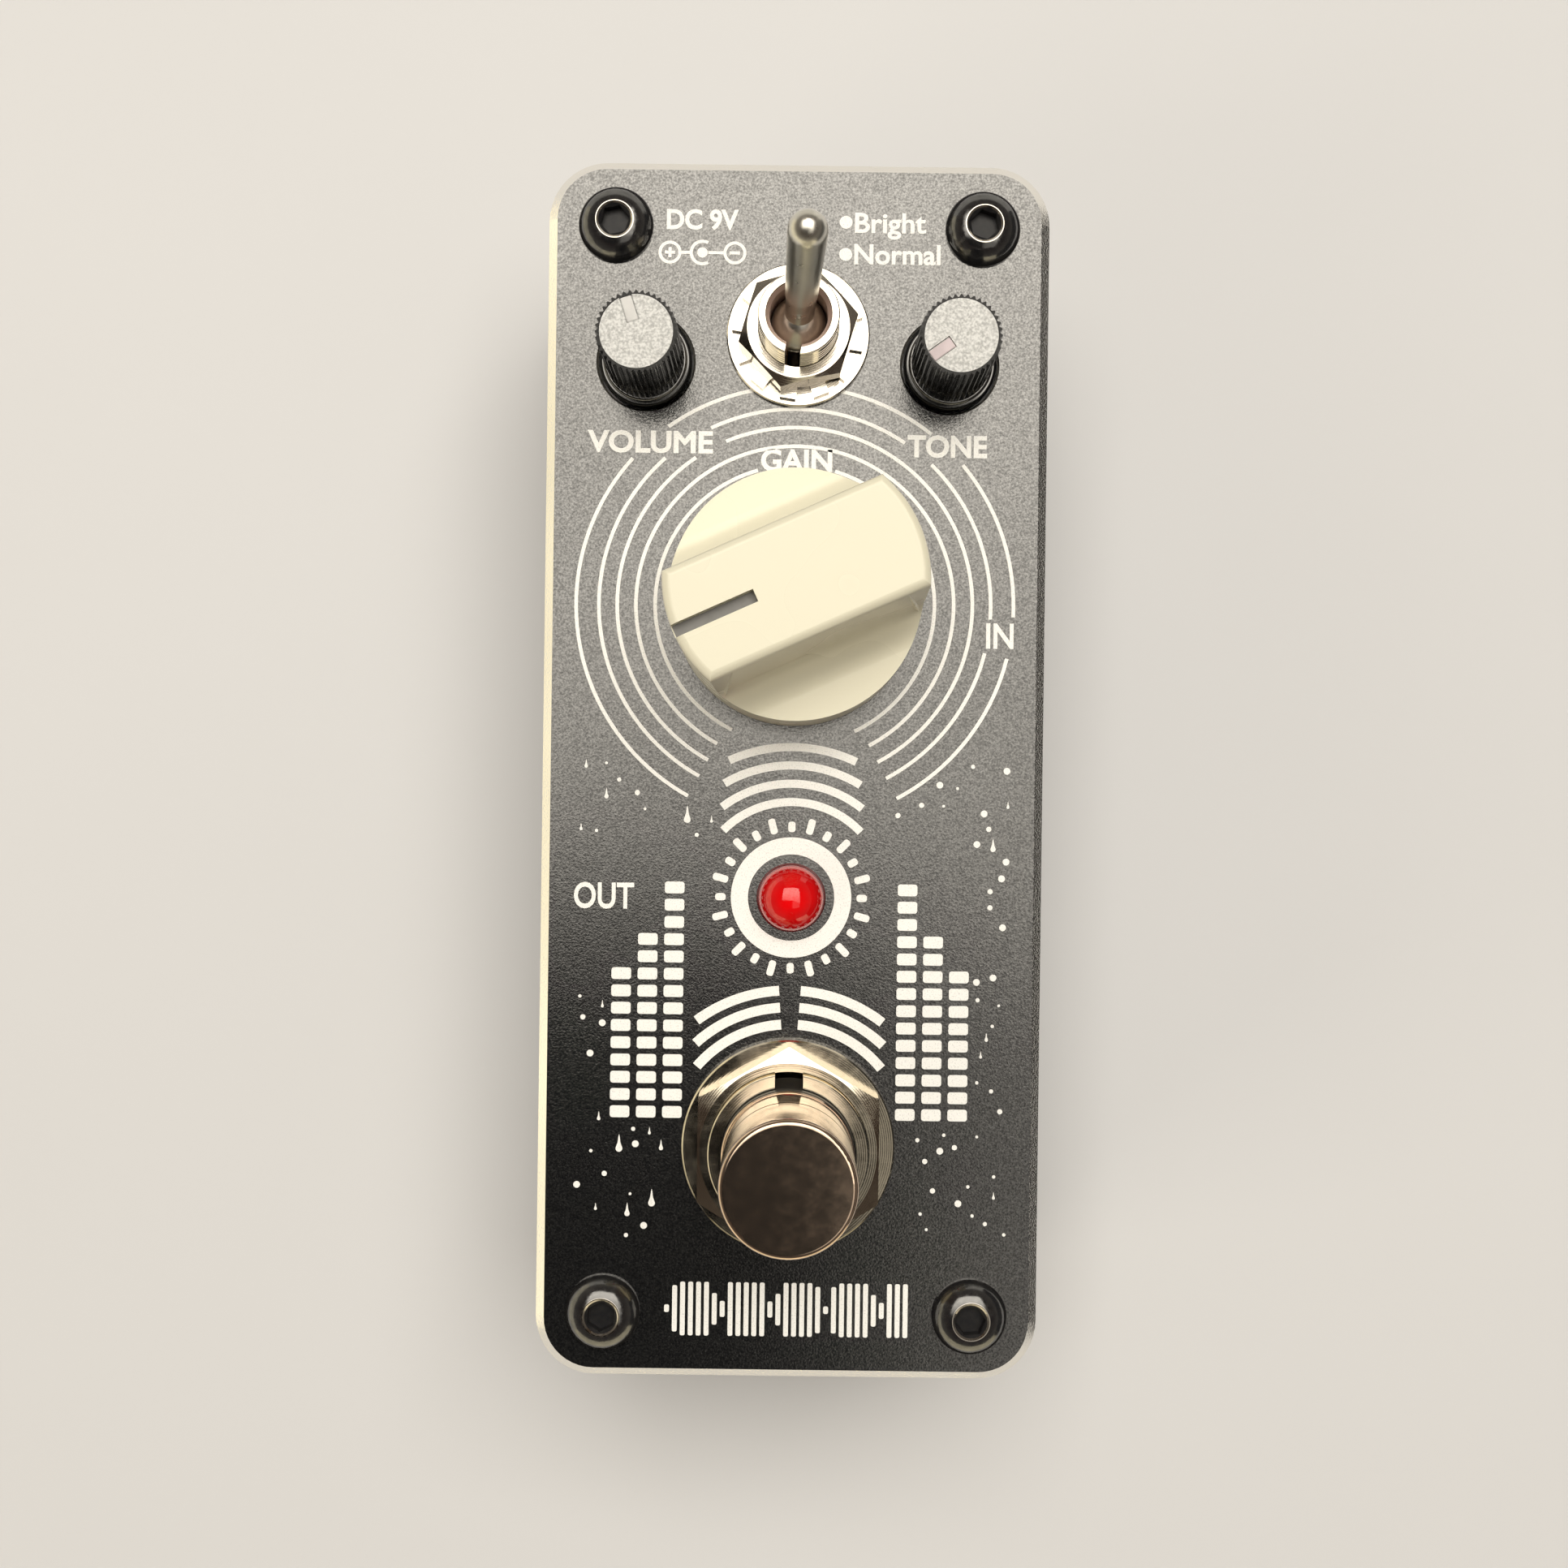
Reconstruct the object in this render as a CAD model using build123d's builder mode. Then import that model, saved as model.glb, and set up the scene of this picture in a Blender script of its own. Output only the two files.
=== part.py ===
"""Mini guitar distortion pedal in millimetres.

X runs across the pedal, Y along it towards the power socket and Z up.
The origin is on the table, under the centre of the enclosure.
"""

from build123d import *

import os
from math import cos, pi, radians, sin

os.makedirs("parts", exist_ok=True)

# ---------------------------------------------------------------- driving dimensions
# Enclosure
LENGTH = 93.0
WIDTH = 38.4
PANEL_TOP = 31.0
CORNER_R = 4.5
WALL = 2.0
PAD_THICK = 1.5
PANEL_THICK = 2.5
PANEL_CHAMFER = 0.7
SCREW_X = 14.0
SCREW_Y = 41.5
BOSS_R = 3.4
SCREW_R = 1.46
SCREW_LENGTH = 10.0
SCREW_HEAD_R = 2.85
SCREW_HEAD_HIGH = 1.65
SCREW_TURNS = (12, 41, 27, 5)

# Places of the controls along the panel
KNOB_X = 11.6
KNOB_Y = 31.1
TOGGLE_Y = 33.2
GAIN_Y = 12.65
LED_Y = -9.7
SWITCH_Y = -28.6
INPUT_Y = 10.4
OUTPUT_Y = -9.8

# Circuit boards
BOARD_THICK = 1.6
BOARD_BOTTOM = 16.6
BOARD_X = 16.6
BOARD_FRONT = -18.2
BOARD_BACK = 37.4
BOARD_TONGUE_X = 9.0
BOARD_TONGUE_Y = 43.9
LEAD_GAP = 0.12

# Phone jacks
JACK_BORE_R = 3.25
JACK_NOZZLE_R = 4.4
JACK_WIDE = 13.0
JACK_HIGH = 12.4
JACK_DEEP = 26.0
JACK_CONTACTS = (6.0, 14.0, 22.0)

# Power socket
DC_WIDE = 9.0
DC_HIGH = 11.0
DC_DEEP = 14.0
DC_NOZZLE_R = 4.4
DC_BORE_R = 2.95
DC_BORE_DEEP = 9.5
DC_PIN_R = 1.0
DC_TAIL_R = 0.7

# Footswitch
STOMP_BUSH_R = 6.0
STOMP_BUSH_BORE = 5.075
STOMP_BUSH_HIGH = 3.9
STOMP_COLLAR_R = 5.0
STOMP_COLLAR_HIGH = 5.0
STOMP_CAP_R = 4.82
STOMP_CAP_EDGE = 0.4
STOMP_CAP_HIGH = 14.9
STOMP_STEM_R = 2.5
STOMP_TRAVEL = 3.3
STOMP_CASE = 17.3
STOMP_CASE_HIGH = 12.0
STOMP_NUT_FLATS = 13.6
STOMP_WASHER_R = 8.1

# Toggle switch
TOGGLE_TURN = -8.7
TOGGLE_THROW = 30.0
TOGGLE_PIVOT_HIGH = 3.5
TOGGLE_BUSH_R = 3.0
TOGGLE_BUSH_BORE = 2.15
TOGGLE_BUSH_HIGH = 6.5
TOGGLE_TIP_HIGH = 15.5
TOGGLE_TIP_R = 1.4
TOGGLE_TAIL = 11.0
TOGGLE_WASHER_R = 5.46
TOGGLE_NUT_FLATS = 8.0
TOGGLE_CASE_X = 7.9
TOGGLE_CASE_Y = 13.0
TOGGLE_LUG_STEP = 4.7
ROCKER_TILT = 8.0

# Gain control
GAIN_KNOB_R = 9.25
GAIN_KNOB_DRAFT = 0.3
GAIN_KNOB_HIGH = 18.0
GAIN_RIM_HIGH = 7.7
GAIN_BAR_TOP = 4.0
GAIN_BAR_FOOT = 4.6
GAIN_TOP_ROUND = 0.6
GAIN_SLOT_WIDE = 0.9
GAIN_SLOT_LONG = 6.3
GAIN_SLOT_DEEP = 1.0
GAIN_POINTS = 204.4
GAIN_SHAFT_R = 3.0
GAIN_BUSH_R = 3.45

# Volume and tone controls
SMALL_HOLE_R = 3.66
SMALL_FLANGE_R = 3.5
SMALL_SHOULDER_R = 3.2
SMALL_FOOT_R = 3.0
SMALL_TOP_R = 2.95
SMALL_CAP_R = 2.64
SMALL_HIGH = 9.0
SMALL_RIDGES = 40
SMALL_RIDGE_DEEP = 0.2
SMALL_SHAFT_R = 1.8
VOLUME_POINTS = 108.0
TONE_POINTS = 216.0

# ---------------------------------------------------------------- worked-out levels
FLOOR_TOP = PAD_THICK + WALL
RIM = PANEL_TOP - PANEL_THICK
BOARD_TOP = BOARD_BOTTOM + BOARD_THICK
JACK_Z = BOARD_BOTTOM - 0.1 - JACK_HIGH / 2
DC_TOP = 14.7
DC_Z = DC_TOP - 4.5
STAND_OFF = 0.8
POT_BOTTOM = BOARD_TOP + STAND_OFF
POT_HIGH = 6.4
POT_TOP = POT_BOTTOM + POT_HIGH
BUSH_FOOT = RIM - 4.5
CASE_TOP = BUSH_FOOT - 0.8
CASE_FOOT = CASE_TOP - STOMP_CASE_HIGH
BASE_FOOT = CASE_FOOT - 2.0
PIVOT_Z = PANEL_TOP + TOGGLE_PIVOT_HIGH


def save(piece, name):
    """Labels one finished piece and writes it to its own file."""
    piece.part.label = name
    export_step(piece.part, f"parts/{name}.step")


def thread_outline(radius, foot, top, pitch, depth, bore):
    """Half section of a threaded tube: ring grooves outside, a plain bore inside."""
    turns = int((top - foot) / pitch - 0.6)
    crests = [(bore, foot), (radius - depth, foot)]
    for turn in range(turns):
        start = foot + turn * pitch
        crests.append((radius, start + 0.3 * pitch))
        crests.append((radius, start + 0.6 * pitch))
        crests.append((radius - depth, start + pitch))
    crests.append((radius - depth, top - 0.6 * pitch))
    crests.append((radius, top - 0.4 * pitch))
    crests.append((radius, top - 0.08))
    crests.append((radius - 0.08, top))
    crests.append((bore, top))
    return crests


def ring(plane, outer, inner, thick, edge=0.12):
    """Flat ring standing on a plane, with its outer edges broken."""
    with BuildPart() as made:
        with BuildSketch(plane):
            Circle(outer)
            Circle(inner, mode=Mode.SUBTRACT)
        extrude(amount=thick)
        rims = made.edges().filter_by(GeomType.CIRCLE)
        chamfer(rims.filter_by(lambda e: abs(e.radius - outer) < 0.01), edge)
    return made


def hex_nut(plane, flats, bore, thick, turn):
    """Hexagon nut whose top corners are turned to a cone."""
    corner = flats / 2 / cos(pi / 6)
    axis_section = Plane(origin=plane.origin, x_dir=plane.x_dir, z_dir=-plane.y_dir)
    with BuildPart() as made:
        with BuildSketch(plane):
            RegularPolygon(flats / 2, 6, major_radius=False, rotation=turn)
            Circle(bore, mode=Mode.SUBTRACT)
        extrude(amount=thick)
        with BuildSketch(axis_section):
            with BuildLine():
                Polyline(
                    (0, 0),
                    (corner + 0.1, 0),
                    (corner + 0.1, thick - 0.45),
                    (flats / 2 - 0.15, thick),
                    (0, thick),
                    close=True,
                )
            make_face()
        revolve(axis=Axis(plane.origin, plane.z_dir), mode=Mode.INTERSECT)
    return made


def blade(x, y, foot, top, wide, thick):
    """One upright flat lead."""
    with Locations((x, y, (foot + top) / 2)):
        Box(wide, thick, top - foot)


# ---------------------------------------------------------------- enclosure
with BuildPart() as enclosure_body:
    with BuildSketch(Plane.XY.offset(PAD_THICK)):
        RectangleRounded(WIDTH, LENGTH, CORNER_R)
    extrude(amount=RIM - PAD_THICK)
    chamfer(enclosure_body.faces().sort_by(Axis.Z)[0].edges(), 0.8)
    with BuildSketch(Plane.XY.offset(FLOOR_TOP)):
        RectangleRounded(WIDTH - 2 * WALL, LENGTH - 2 * WALL, CORNER_R - WALL)
    extrude(amount=RIM - FLOOR_TOP, mode=Mode.SUBTRACT)
    with BuildSketch(Plane.XY.offset(FLOOR_TOP - WALL / 2)):
        with GridLocations(2 * SCREW_X, 2 * SCREW_Y, 2, 2):
            Circle(BOSS_R)
    extrude(amount=RIM - FLOOR_TOP + WALL / 2)
    with Locations((0, 0, RIM)):
        with GridLocations(2 * SCREW_X, 2 * SCREW_Y, 2, 2):
            Hole(SCREW_R + 0.04, depth=SCREW_LENGTH + 1.0)
    for side, along in ((1, INPUT_Y), (-1, OUTPUT_Y)):
        with BuildSketch(Plane(origin=(side * WIDTH / 2, along, JACK_Z), z_dir=(side, 0, 0))):
            Circle(JACK_NOZZLE_R + 0.1)
        extrude(amount=-WALL - 0.5, mode=Mode.SUBTRACT)
    with BuildSketch(Plane(origin=(0, LENGTH / 2, DC_Z), z_dir=(0, 1, 0))):
        Circle(DC_NOZZLE_R + 0.1)
    extrude(amount=-WALL - 0.5, mode=Mode.SUBTRACT)
save(enclosure_body, "enclosure_body")

with BuildPart() as base_pad:
    with BuildSketch():
        RectangleRounded(WIDTH - 4.4, LENGTH - 4.4, CORNER_R - 1.7)
    extrude(amount=PAD_THICK)
    chamfer(base_pad.faces().sort_by(Axis.Z)[0].edges(), 0.3)
save(base_pad, "base_pad")

with BuildPart() as top_panel:
    with BuildSketch(Plane.XY.offset(RIM)):
        RectangleRounded(WIDTH, LENGTH, CORNER_R)
        with GridLocations(2 * SCREW_X, 2 * SCREW_Y, 2, 2):
            Circle(SCREW_R + 0.25, mode=Mode.SUBTRACT)
        with Locations((-KNOB_X, KNOB_Y), (KNOB_X, KNOB_Y)):
            Circle(SMALL_HOLE_R, mode=Mode.SUBTRACT)
        with Locations((0, TOGGLE_Y)):
            Circle(TOGGLE_BUSH_R + 0.15, mode=Mode.SUBTRACT)
        with Locations((0, GAIN_Y)):
            Circle(GAIN_BUSH_R + 0.15, mode=Mode.SUBTRACT)
        with Locations((0, LED_Y)):
            Circle(2.65, mode=Mode.SUBTRACT)
        with Locations((0, SWITCH_Y)):
            Circle(STOMP_BUSH_R + 0.15, mode=Mode.SUBTRACT)
    extrude(amount=PANEL_THICK)
    chamfer(top_panel.faces().sort_by(Axis.Z)[-1].outer_wire().edges(), PANEL_CHAMFER)
    mouths = top_panel.edges().filter_by(GeomType.CIRCLE).group_by(Axis.Z)[-1]
    chamfer(mouths.filter_by(lambda e: abs(e.radius - SMALL_HOLE_R) < 0.01), 0.15)
save(top_panel, "top_panel")

# Button-head screw: domed head, hexagon socket with a turned mouth, plain shank
with BuildPart() as screw:
    with BuildSketch(Plane.XZ):
        with BuildLine():
            Polyline((1.45, SCREW_HEAD_HIGH), (0, SCREW_HEAD_HIGH), (0, -SCREW_LENGTH),
                     (SCREW_R - 0.4, -SCREW_LENGTH), (SCREW_R, 0.4 - SCREW_LENGTH),
                     (SCREW_R, 0), (SCREW_HEAD_R, 0), (SCREW_HEAD_R, 0.25))
            ThreePointArc((SCREW_HEAD_R, 0.25), (2.38, 1.13), (1.45, SCREW_HEAD_HIGH))
        make_face()
    revolve(axis=Axis.Z)
    with BuildSketch(Plane.XY.offset(SCREW_HEAD_HIGH)):
        RegularPolygon(1.0, 6, major_radius=False)
    extrude(amount=-1.04, mode=Mode.SUBTRACT)
    with BuildSketch(Plane.XZ):
        with BuildLine():
            Polyline((0, SCREW_HEAD_HIGH), (1.38, SCREW_HEAD_HIGH), (0.98, SCREW_HEAD_HIGH - 0.3),
                     (0, SCREW_HEAD_HIGH - 0.3), close=True)
        make_face()
    revolve(axis=Axis.Z, mode=Mode.SUBTRACT)
SCREW_PLACES = [(x, y) for y in (SCREW_Y, -SCREW_Y) for x in (-SCREW_X, SCREW_X)]
with BuildPart() as panel_screws:
    for (x, y), turn in zip(SCREW_PLACES, SCREW_TURNS):
        with Locations(Location((x, y, PANEL_TOP), (0, 0, turn))):
            add(screw.part)
save(panel_screws, "panel_screws")

# ---------------------------------------------------------------- footswitch
stomp_axis = Axis((0, SWITCH_Y, 0), (0, 0, 1))
stomp_section = Plane(origin=(0, SWITCH_Y, 0), x_dir=(1, 0, 0), z_dir=(0, -1, 0))
stomp_plane = Plane((0, SWITCH_Y, 0))
STOMP_WASHER_THICK = 0.8
COLLAR_FOOT = BUSH_FOOT + 2.7 + STOMP_TRAVEL + 0.2

footswitch_washer = ring(stomp_plane.offset(PANEL_TOP), STOMP_WASHER_R,
                         STOMP_BUSH_R + 0.15, STOMP_WASHER_THICK)
save(footswitch_washer, "footswitch_washer")

footswitch_nut = hex_nut(stomp_plane.offset(PANEL_TOP + STOMP_WASHER_THICK),
                         STOMP_NUT_FLATS, STOMP_BUSH_R + 0.05, 2.0, 30)
save(footswitch_nut, "footswitch_nut")

footswitch_lower_nut = hex_nut(stomp_plane.offset(RIM - 2.0),
                               STOMP_NUT_FLATS, STOMP_BUSH_R + 0.05, 2.0, 30)
save(footswitch_lower_nut, "footswitch_lower_nut")

with BuildPart() as footswitch_bushing:
    with BuildSketch(stomp_section):
        with BuildLine():
            Polyline(*thread_outline(STOMP_BUSH_R, BUSH_FOOT, PANEL_TOP + STOMP_BUSH_HIGH,
                                     1.0, 0.32, STOMP_STEM_R + 0.08), close=True)
        make_face()
    revolve(axis=stomp_axis)
    with BuildSketch(stomp_plane.offset(BUSH_FOOT + 2.7)):
        Circle(STOMP_BUSH_BORE)
    extrude(amount=20, mode=Mode.SUBTRACT)
    with BuildSketch(stomp_plane.offset(RIM - 1.0)):
        with Locations((0, STOMP_BUSH_R)):
            Rectangle(2.1, 3.0)
    extrude(amount=20, mode=Mode.SUBTRACT)
save(footswitch_bushing, "footswitch_bushing")

with BuildPart() as footswitch_frame:
    with BuildSketch(stomp_plane.offset(CASE_TOP)):
        Rectangle(STOMP_CASE + 1.0, STOMP_CASE - 0.3)
        Circle(STOMP_STEM_R + 0.2, mode=Mode.SUBTRACT)
    extrude(amount=BUSH_FOOT - CASE_TOP)
    with BuildSketch(stomp_plane.offset(CASE_FOOT + 1.0)):
        with Locations((-STOMP_CASE / 2 - 0.27, 0), (STOMP_CASE / 2 + 0.27, 0)):
            Rectangle(0.46, 7.0)
    extrude(amount=CASE_TOP - CASE_FOOT - 1.0)
save(footswitch_frame, "footswitch_frame")

with BuildPart() as footswitch_housing:
    with BuildSketch(stomp_plane.offset(CASE_FOOT)):
        RectangleRounded(STOMP_CASE, STOMP_CASE, 0.6)
    extrude(amount=STOMP_CASE_HIGH)
    with BuildSketch(stomp_plane.offset(CASE_FOOT)):
        Rectangle(STOMP_CASE - 2.4, STOMP_CASE - 2.4)
    extrude(amount=STOMP_CASE_HIGH - 1.4, mode=Mode.SUBTRACT)
    with BuildSketch(stomp_plane.offset(CASE_FOOT)):
        Circle(STOMP_STEM_R + 0.2)
    extrude(amount=STOMP_CASE_HIGH, mode=Mode.SUBTRACT)
save(footswitch_housing, "footswitch_housing")

LUG_X = 4.7
LUG_Y = 5.0
LUG_FOOT = 4.4
STOMP_BOARD_TOP = 6.8
with BuildPart() as footswitch_base:
    with BuildSketch(stomp_plane.offset(BASE_FOOT)):
        RectangleRounded(STOMP_CASE, STOMP_CASE, 0.6)
        with GridLocations(LUG_X, LUG_Y, 3, 3):
            Rectangle(2.0 + LEAD_GAP, 0.8 + LEAD_GAP, mode=Mode.SUBTRACT)
    extrude(amount=CASE_FOOT - BASE_FOOT)
save(footswitch_base, "footswitch_base")

with BuildPart() as footswitch_lugs:
    with BuildSketch(stomp_plane.offset(LUG_FOOT)):
        with GridLocations(LUG_X, LUG_Y, 3, 3):
            Rectangle(2.0, 0.8)
    extrude(amount=CASE_FOOT + 0.6 - LUG_FOOT)
save(footswitch_lugs, "footswitch_lugs")

with BuildPart() as footswitch_board:
    with BuildSketch(stomp_plane.offset(STOMP_BOARD_TOP - 1.2)):
        RectangleRounded(STOMP_CASE, STOMP_CASE, 0.8)
        with GridLocations(LUG_X, LUG_Y, 3, 3):
            Rectangle(2.0 + LEAD_GAP, 0.8 + LEAD_GAP, mode=Mode.SUBTRACT)
    extrude(amount=1.2)
save(footswitch_board, "footswitch_board")

ACTUATOR_FOOT = CASE_FOOT + 5.8
ACTUATOR_TOP = ACTUATOR_FOOT + 3.5
with BuildPart() as footswitch_plunger:
    with BuildSketch(stomp_section):
        with BuildLine():
            Polyline((0, ACTUATOR_TOP),
                     (STOMP_STEM_R, ACTUATOR_TOP),
                     (STOMP_STEM_R, COLLAR_FOOT),
                     (STOMP_COLLAR_R, COLLAR_FOOT),
                     (STOMP_COLLAR_R, PANEL_TOP + STOMP_COLLAR_HIGH),
                     (STOMP_CAP_R, PANEL_TOP + STOMP_COLLAR_HIGH),
                     (STOMP_CAP_R, PANEL_TOP + STOMP_CAP_HIGH),
                     (0, PANEL_TOP + STOMP_CAP_HIGH),
                     close=True)
        make_face()
    revolve(axis=stomp_axis)
    fillet(footswitch_plunger.faces().sort_by(Axis.Z)[-1].edges(), STOMP_CAP_EDGE)
    with BuildSketch(stomp_section):
        with Locations((STOMP_CAP_R, PANEL_TOP + 8.7)):
            Rectangle(0.24, 0.25)
    revolve(axis=stomp_axis, mode=Mode.SUBTRACT)
    shoulder = footswitch_plunger.edges().filter_by(GeomType.CIRCLE)
    shoulder = shoulder.filter_by(lambda e: abs(e.radius - STOMP_COLLAR_R) < 0.01)
    chamfer(shoulder.sort_by(Axis.Z)[-1], 0.15)
save(footswitch_plunger, "footswitch_plunger")

with BuildPart() as footswitch_actuator:
    with BuildSketch(stomp_plane.offset(ACTUATOR_FOOT)):
        Circle(3.7)
    extrude(amount=ACTUATOR_TOP - ACTUATOR_FOOT)
    chamfer(footswitch_actuator.edges().filter_by(GeomType.CIRCLE), 0.3)
save(footswitch_actuator, "footswitch_actuator")

SPRING_WIRE = 0.27
SPRING_HIGH = ACTUATOR_FOOT - CASE_FOOT - 2 * SPRING_WIRE - 0.04
with BuildPart() as footswitch_spring:
    with BuildLine() as coil:
        Helix(pitch=SPRING_HIGH / 4, height=SPRING_HIGH, radius=3.0,
              center=(0, SWITCH_Y, CASE_FOOT + SPRING_WIRE + 0.02))
    with BuildSketch(Plane(origin=coil.line @ 0, z_dir=coil.line % 0)):
        Circle(SPRING_WIRE)
    sweep(path=coil.line, is_frenet=True)
save(footswitch_spring, "footswitch_spring")

RIBBON_BACK = SWITCH_Y + STOMP_CASE / 2 + 1.2
with BuildPart() as ribbon_cable:
    with BuildSketch(Plane.YZ.offset(-4.5)):
        with BuildLine():
            Polyline((RIBBON_BACK - 4.0, STOMP_BOARD_TOP),
                     (RIBBON_BACK, STOMP_BOARD_TOP),
                     (RIBBON_BACK, BOARD_BOTTOM - 0.8),
                     (RIBBON_BACK + 2.2, BOARD_BOTTOM - 0.8),
                     (RIBBON_BACK + 2.2, BOARD_BOTTOM),
                     (RIBBON_BACK - 0.8, BOARD_BOTTOM),
                     (RIBBON_BACK - 0.8, STOMP_BOARD_TOP + 0.8),
                     (RIBBON_BACK - 4.0, STOMP_BOARD_TOP + 0.8),
                     close=True)
        make_face()
    extrude(amount=9.0)
save(ribbon_cable, "ribbon_cable")

# ---------------------------------------------------------------- toggle switch
toggle_plane = Plane(Location((0, TOGGLE_Y, 0), (0, 0, TOGGLE_TURN)))
toggle_section = Plane(origin=(0, TOGGLE_Y, 0), x_dir=toggle_plane.x_dir,
                       z_dir=-toggle_plane.y_dir)
toggle_axis = Axis((0, TOGGLE_Y, 0), (0, 0, 1))
CASE_FLOOR = BOARD_TOP + 0.6

toggle_washer = ring(toggle_plane.offset(PANEL_TOP), TOGGLE_WASHER_R,
                     TOGGLE_BUSH_R + 0.1, 0.5, 0.1)
save(toggle_washer, "toggle_washer")

with BuildPart() as toggle_lock_washer:
    with BuildSketch(toggle_plane.offset(PANEL_TOP + 0.5)):
        Circle(4.1)
        with PolarLocations(4.25, 12):
            Rectangle(1.5, 1.2)
        Circle(TOGGLE_BUSH_R + 0.1, mode=Mode.SUBTRACT)
    extrude(amount=0.5)
save(toggle_lock_washer, "toggle_lock_washer")

toggle_nut = hex_nut(toggle_plane.offset(PANEL_TOP + 1.0), TOGGLE_NUT_FLATS,
                     TOGGLE_BUSH_R + 0.05, 1.9, 13.6 - TOGGLE_TURN)
save(toggle_nut, "toggle_nut")

TOGGLE_MOUTH = PANEL_TOP + TOGGLE_BUSH_HIGH
with BuildPart() as toggle_bushing:
    with BuildSketch(toggle_section):
        with BuildLine():
            Polyline(*thread_outline(TOGGLE_BUSH_R, RIM, TOGGLE_MOUTH, 0.635, 0.22,
                                     TOGGLE_BUSH_BORE), close=True)
        make_face()
    revolve(axis=toggle_axis)
    with BuildSketch(toggle_section):
        with BuildLine():
            Polyline((0, TOGGLE_MOUTH), (TOGGLE_BUSH_BORE + 0.3, TOGGLE_MOUTH),
                     (TOGGLE_BUSH_BORE, TOGGLE_MOUTH - 0.5), (0, TOGGLE_MOUTH - 0.5), close=True)
        make_face()
    revolve(axis=toggle_axis, mode=Mode.SUBTRACT)
    with BuildSketch(toggle_plane.offset(RIM + 1.0)):
        with Locations((0, -TOGGLE_BUSH_R)):
            Rectangle(1.15, 2.0)
    extrude(amount=12, mode=Mode.SUBTRACT)
save(toggle_bushing, "toggle_bushing")

with BuildPart() as toggle_frame:
    with BuildSketch(toggle_plane.offset(RIM - 0.8)):
        Rectangle(TOGGLE_CASE_X + 0.9, TOGGLE_CASE_Y)
        Circle(TOGGLE_BUSH_BORE + 0.2, mode=Mode.SUBTRACT)
    extrude(amount=0.8)
    with BuildSketch(toggle_plane.offset(CASE_FLOOR + 2.0)):
        with Locations((-TOGGLE_CASE_X / 2 - 0.24, 0), (TOGGLE_CASE_X / 2 + 0.24, 0)):
            Rectangle(0.4, 5.0)
    extrude(amount=RIM - 0.8 - CASE_FLOOR - 2.0)
save(toggle_frame, "toggle_frame")

with BuildPart() as toggle_case:
    with BuildSketch(toggle_plane.offset(CASE_FLOOR)):
        Rectangle(TOGGLE_CASE_X, TOGGLE_CASE_Y)
    extrude(amount=RIM - 0.8 - CASE_FLOOR)
    with BuildSketch(toggle_plane.offset(CASE_FLOOR + 1.2)):
        Rectangle(TOGGLE_CASE_X - 1.6, TOGGLE_CASE_Y - 1.6)
    extrude(amount=RIM, mode=Mode.SUBTRACT)
    with BuildSketch(toggle_plane.offset(CASE_FLOOR)):
        with GridLocations(0, TOGGLE_LUG_STEP, 1, 3):
            Rectangle(1.8 + LEAD_GAP, 0.8 + LEAD_GAP)
    extrude(amount=1.2, mode=Mode.SUBTRACT)
save(toggle_case, "toggle_case")

ROCKER_Z = CASE_FLOOR + 3.4
rocker_place = toggle_plane.offset(ROCKER_Z).location
with BuildPart() as toggle_lugs:
    with BuildSketch(toggle_plane.offset(BOARD_BOTTOM)):
        with Locations((0, -TOGGLE_LUG_STEP), (0, TOGGLE_LUG_STEP)):
            Rectangle(1.8, 0.8)
    extrude(amount=ROCKER_Z - 1.2 - BOARD_BOTTOM)
    with BuildSketch(toggle_plane.offset(BOARD_BOTTOM)):
        Rectangle(1.8, 0.8)
    extrude(amount=ROCKER_Z - 0.45 - BOARD_BOTTOM)
save(toggle_lugs, "toggle_lugs")

with BuildPart() as toggle_rocker:
    with BuildSketch(Plane(rocker_place * Rotation(ROCKER_TILT, 0, 0))):
        Rectangle(3.0, 2 * TOGGLE_LUG_STEP + 0.6)
    extrude(amount=0.25, both=True)
save(toggle_rocker, "toggle_rocker")

pivot_place = toggle_plane.offset(PIVOT_Z).location
lever_plane = Plane(pivot_place * Rotation(-TOGGLE_THROW / 2, 0, 0))
lever_section = Plane(origin=lever_plane.origin, x_dir=lever_plane.x_dir, z_dir=-lever_plane.y_dir)
LEVER_LONG = (TOGGLE_TIP_HIGH - TOGGLE_PIVOT_HIGH) / cos(radians(TOGGLE_THROW / 2))
BALL_R = TOGGLE_BUSH_BORE - 0.1
with BuildPart() as toggle_lever:
    with BuildSketch(lever_section):
        with BuildLine():
            Polyline((0, LEVER_LONG + TOGGLE_TIP_R), (0, -TOGGLE_TAIL - 0.7), (0.6, -TOGGLE_TAIL - 0.1),
                     (0.6, 0), (1.1, 0), (1.1, 3.4), (1.2, 4.4), (TOGGLE_TIP_R, LEVER_LONG - 0.4),
                     (TOGGLE_TIP_R, LEVER_LONG))
            ThreePointArc((TOGGLE_TIP_R, LEVER_LONG),
                          (TOGGLE_TIP_R * sin(pi / 4), LEVER_LONG + TOGGLE_TIP_R * cos(pi / 4)),
                          (0, LEVER_LONG + TOGGLE_TIP_R))
        make_face()
    revolve(axis=Axis(lever_plane.origin, lever_plane.z_dir))
    with Locations((0, TOGGLE_Y, PIVOT_Z)):
        Sphere(BALL_R)
save(toggle_lever, "toggle_lever")

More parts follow.
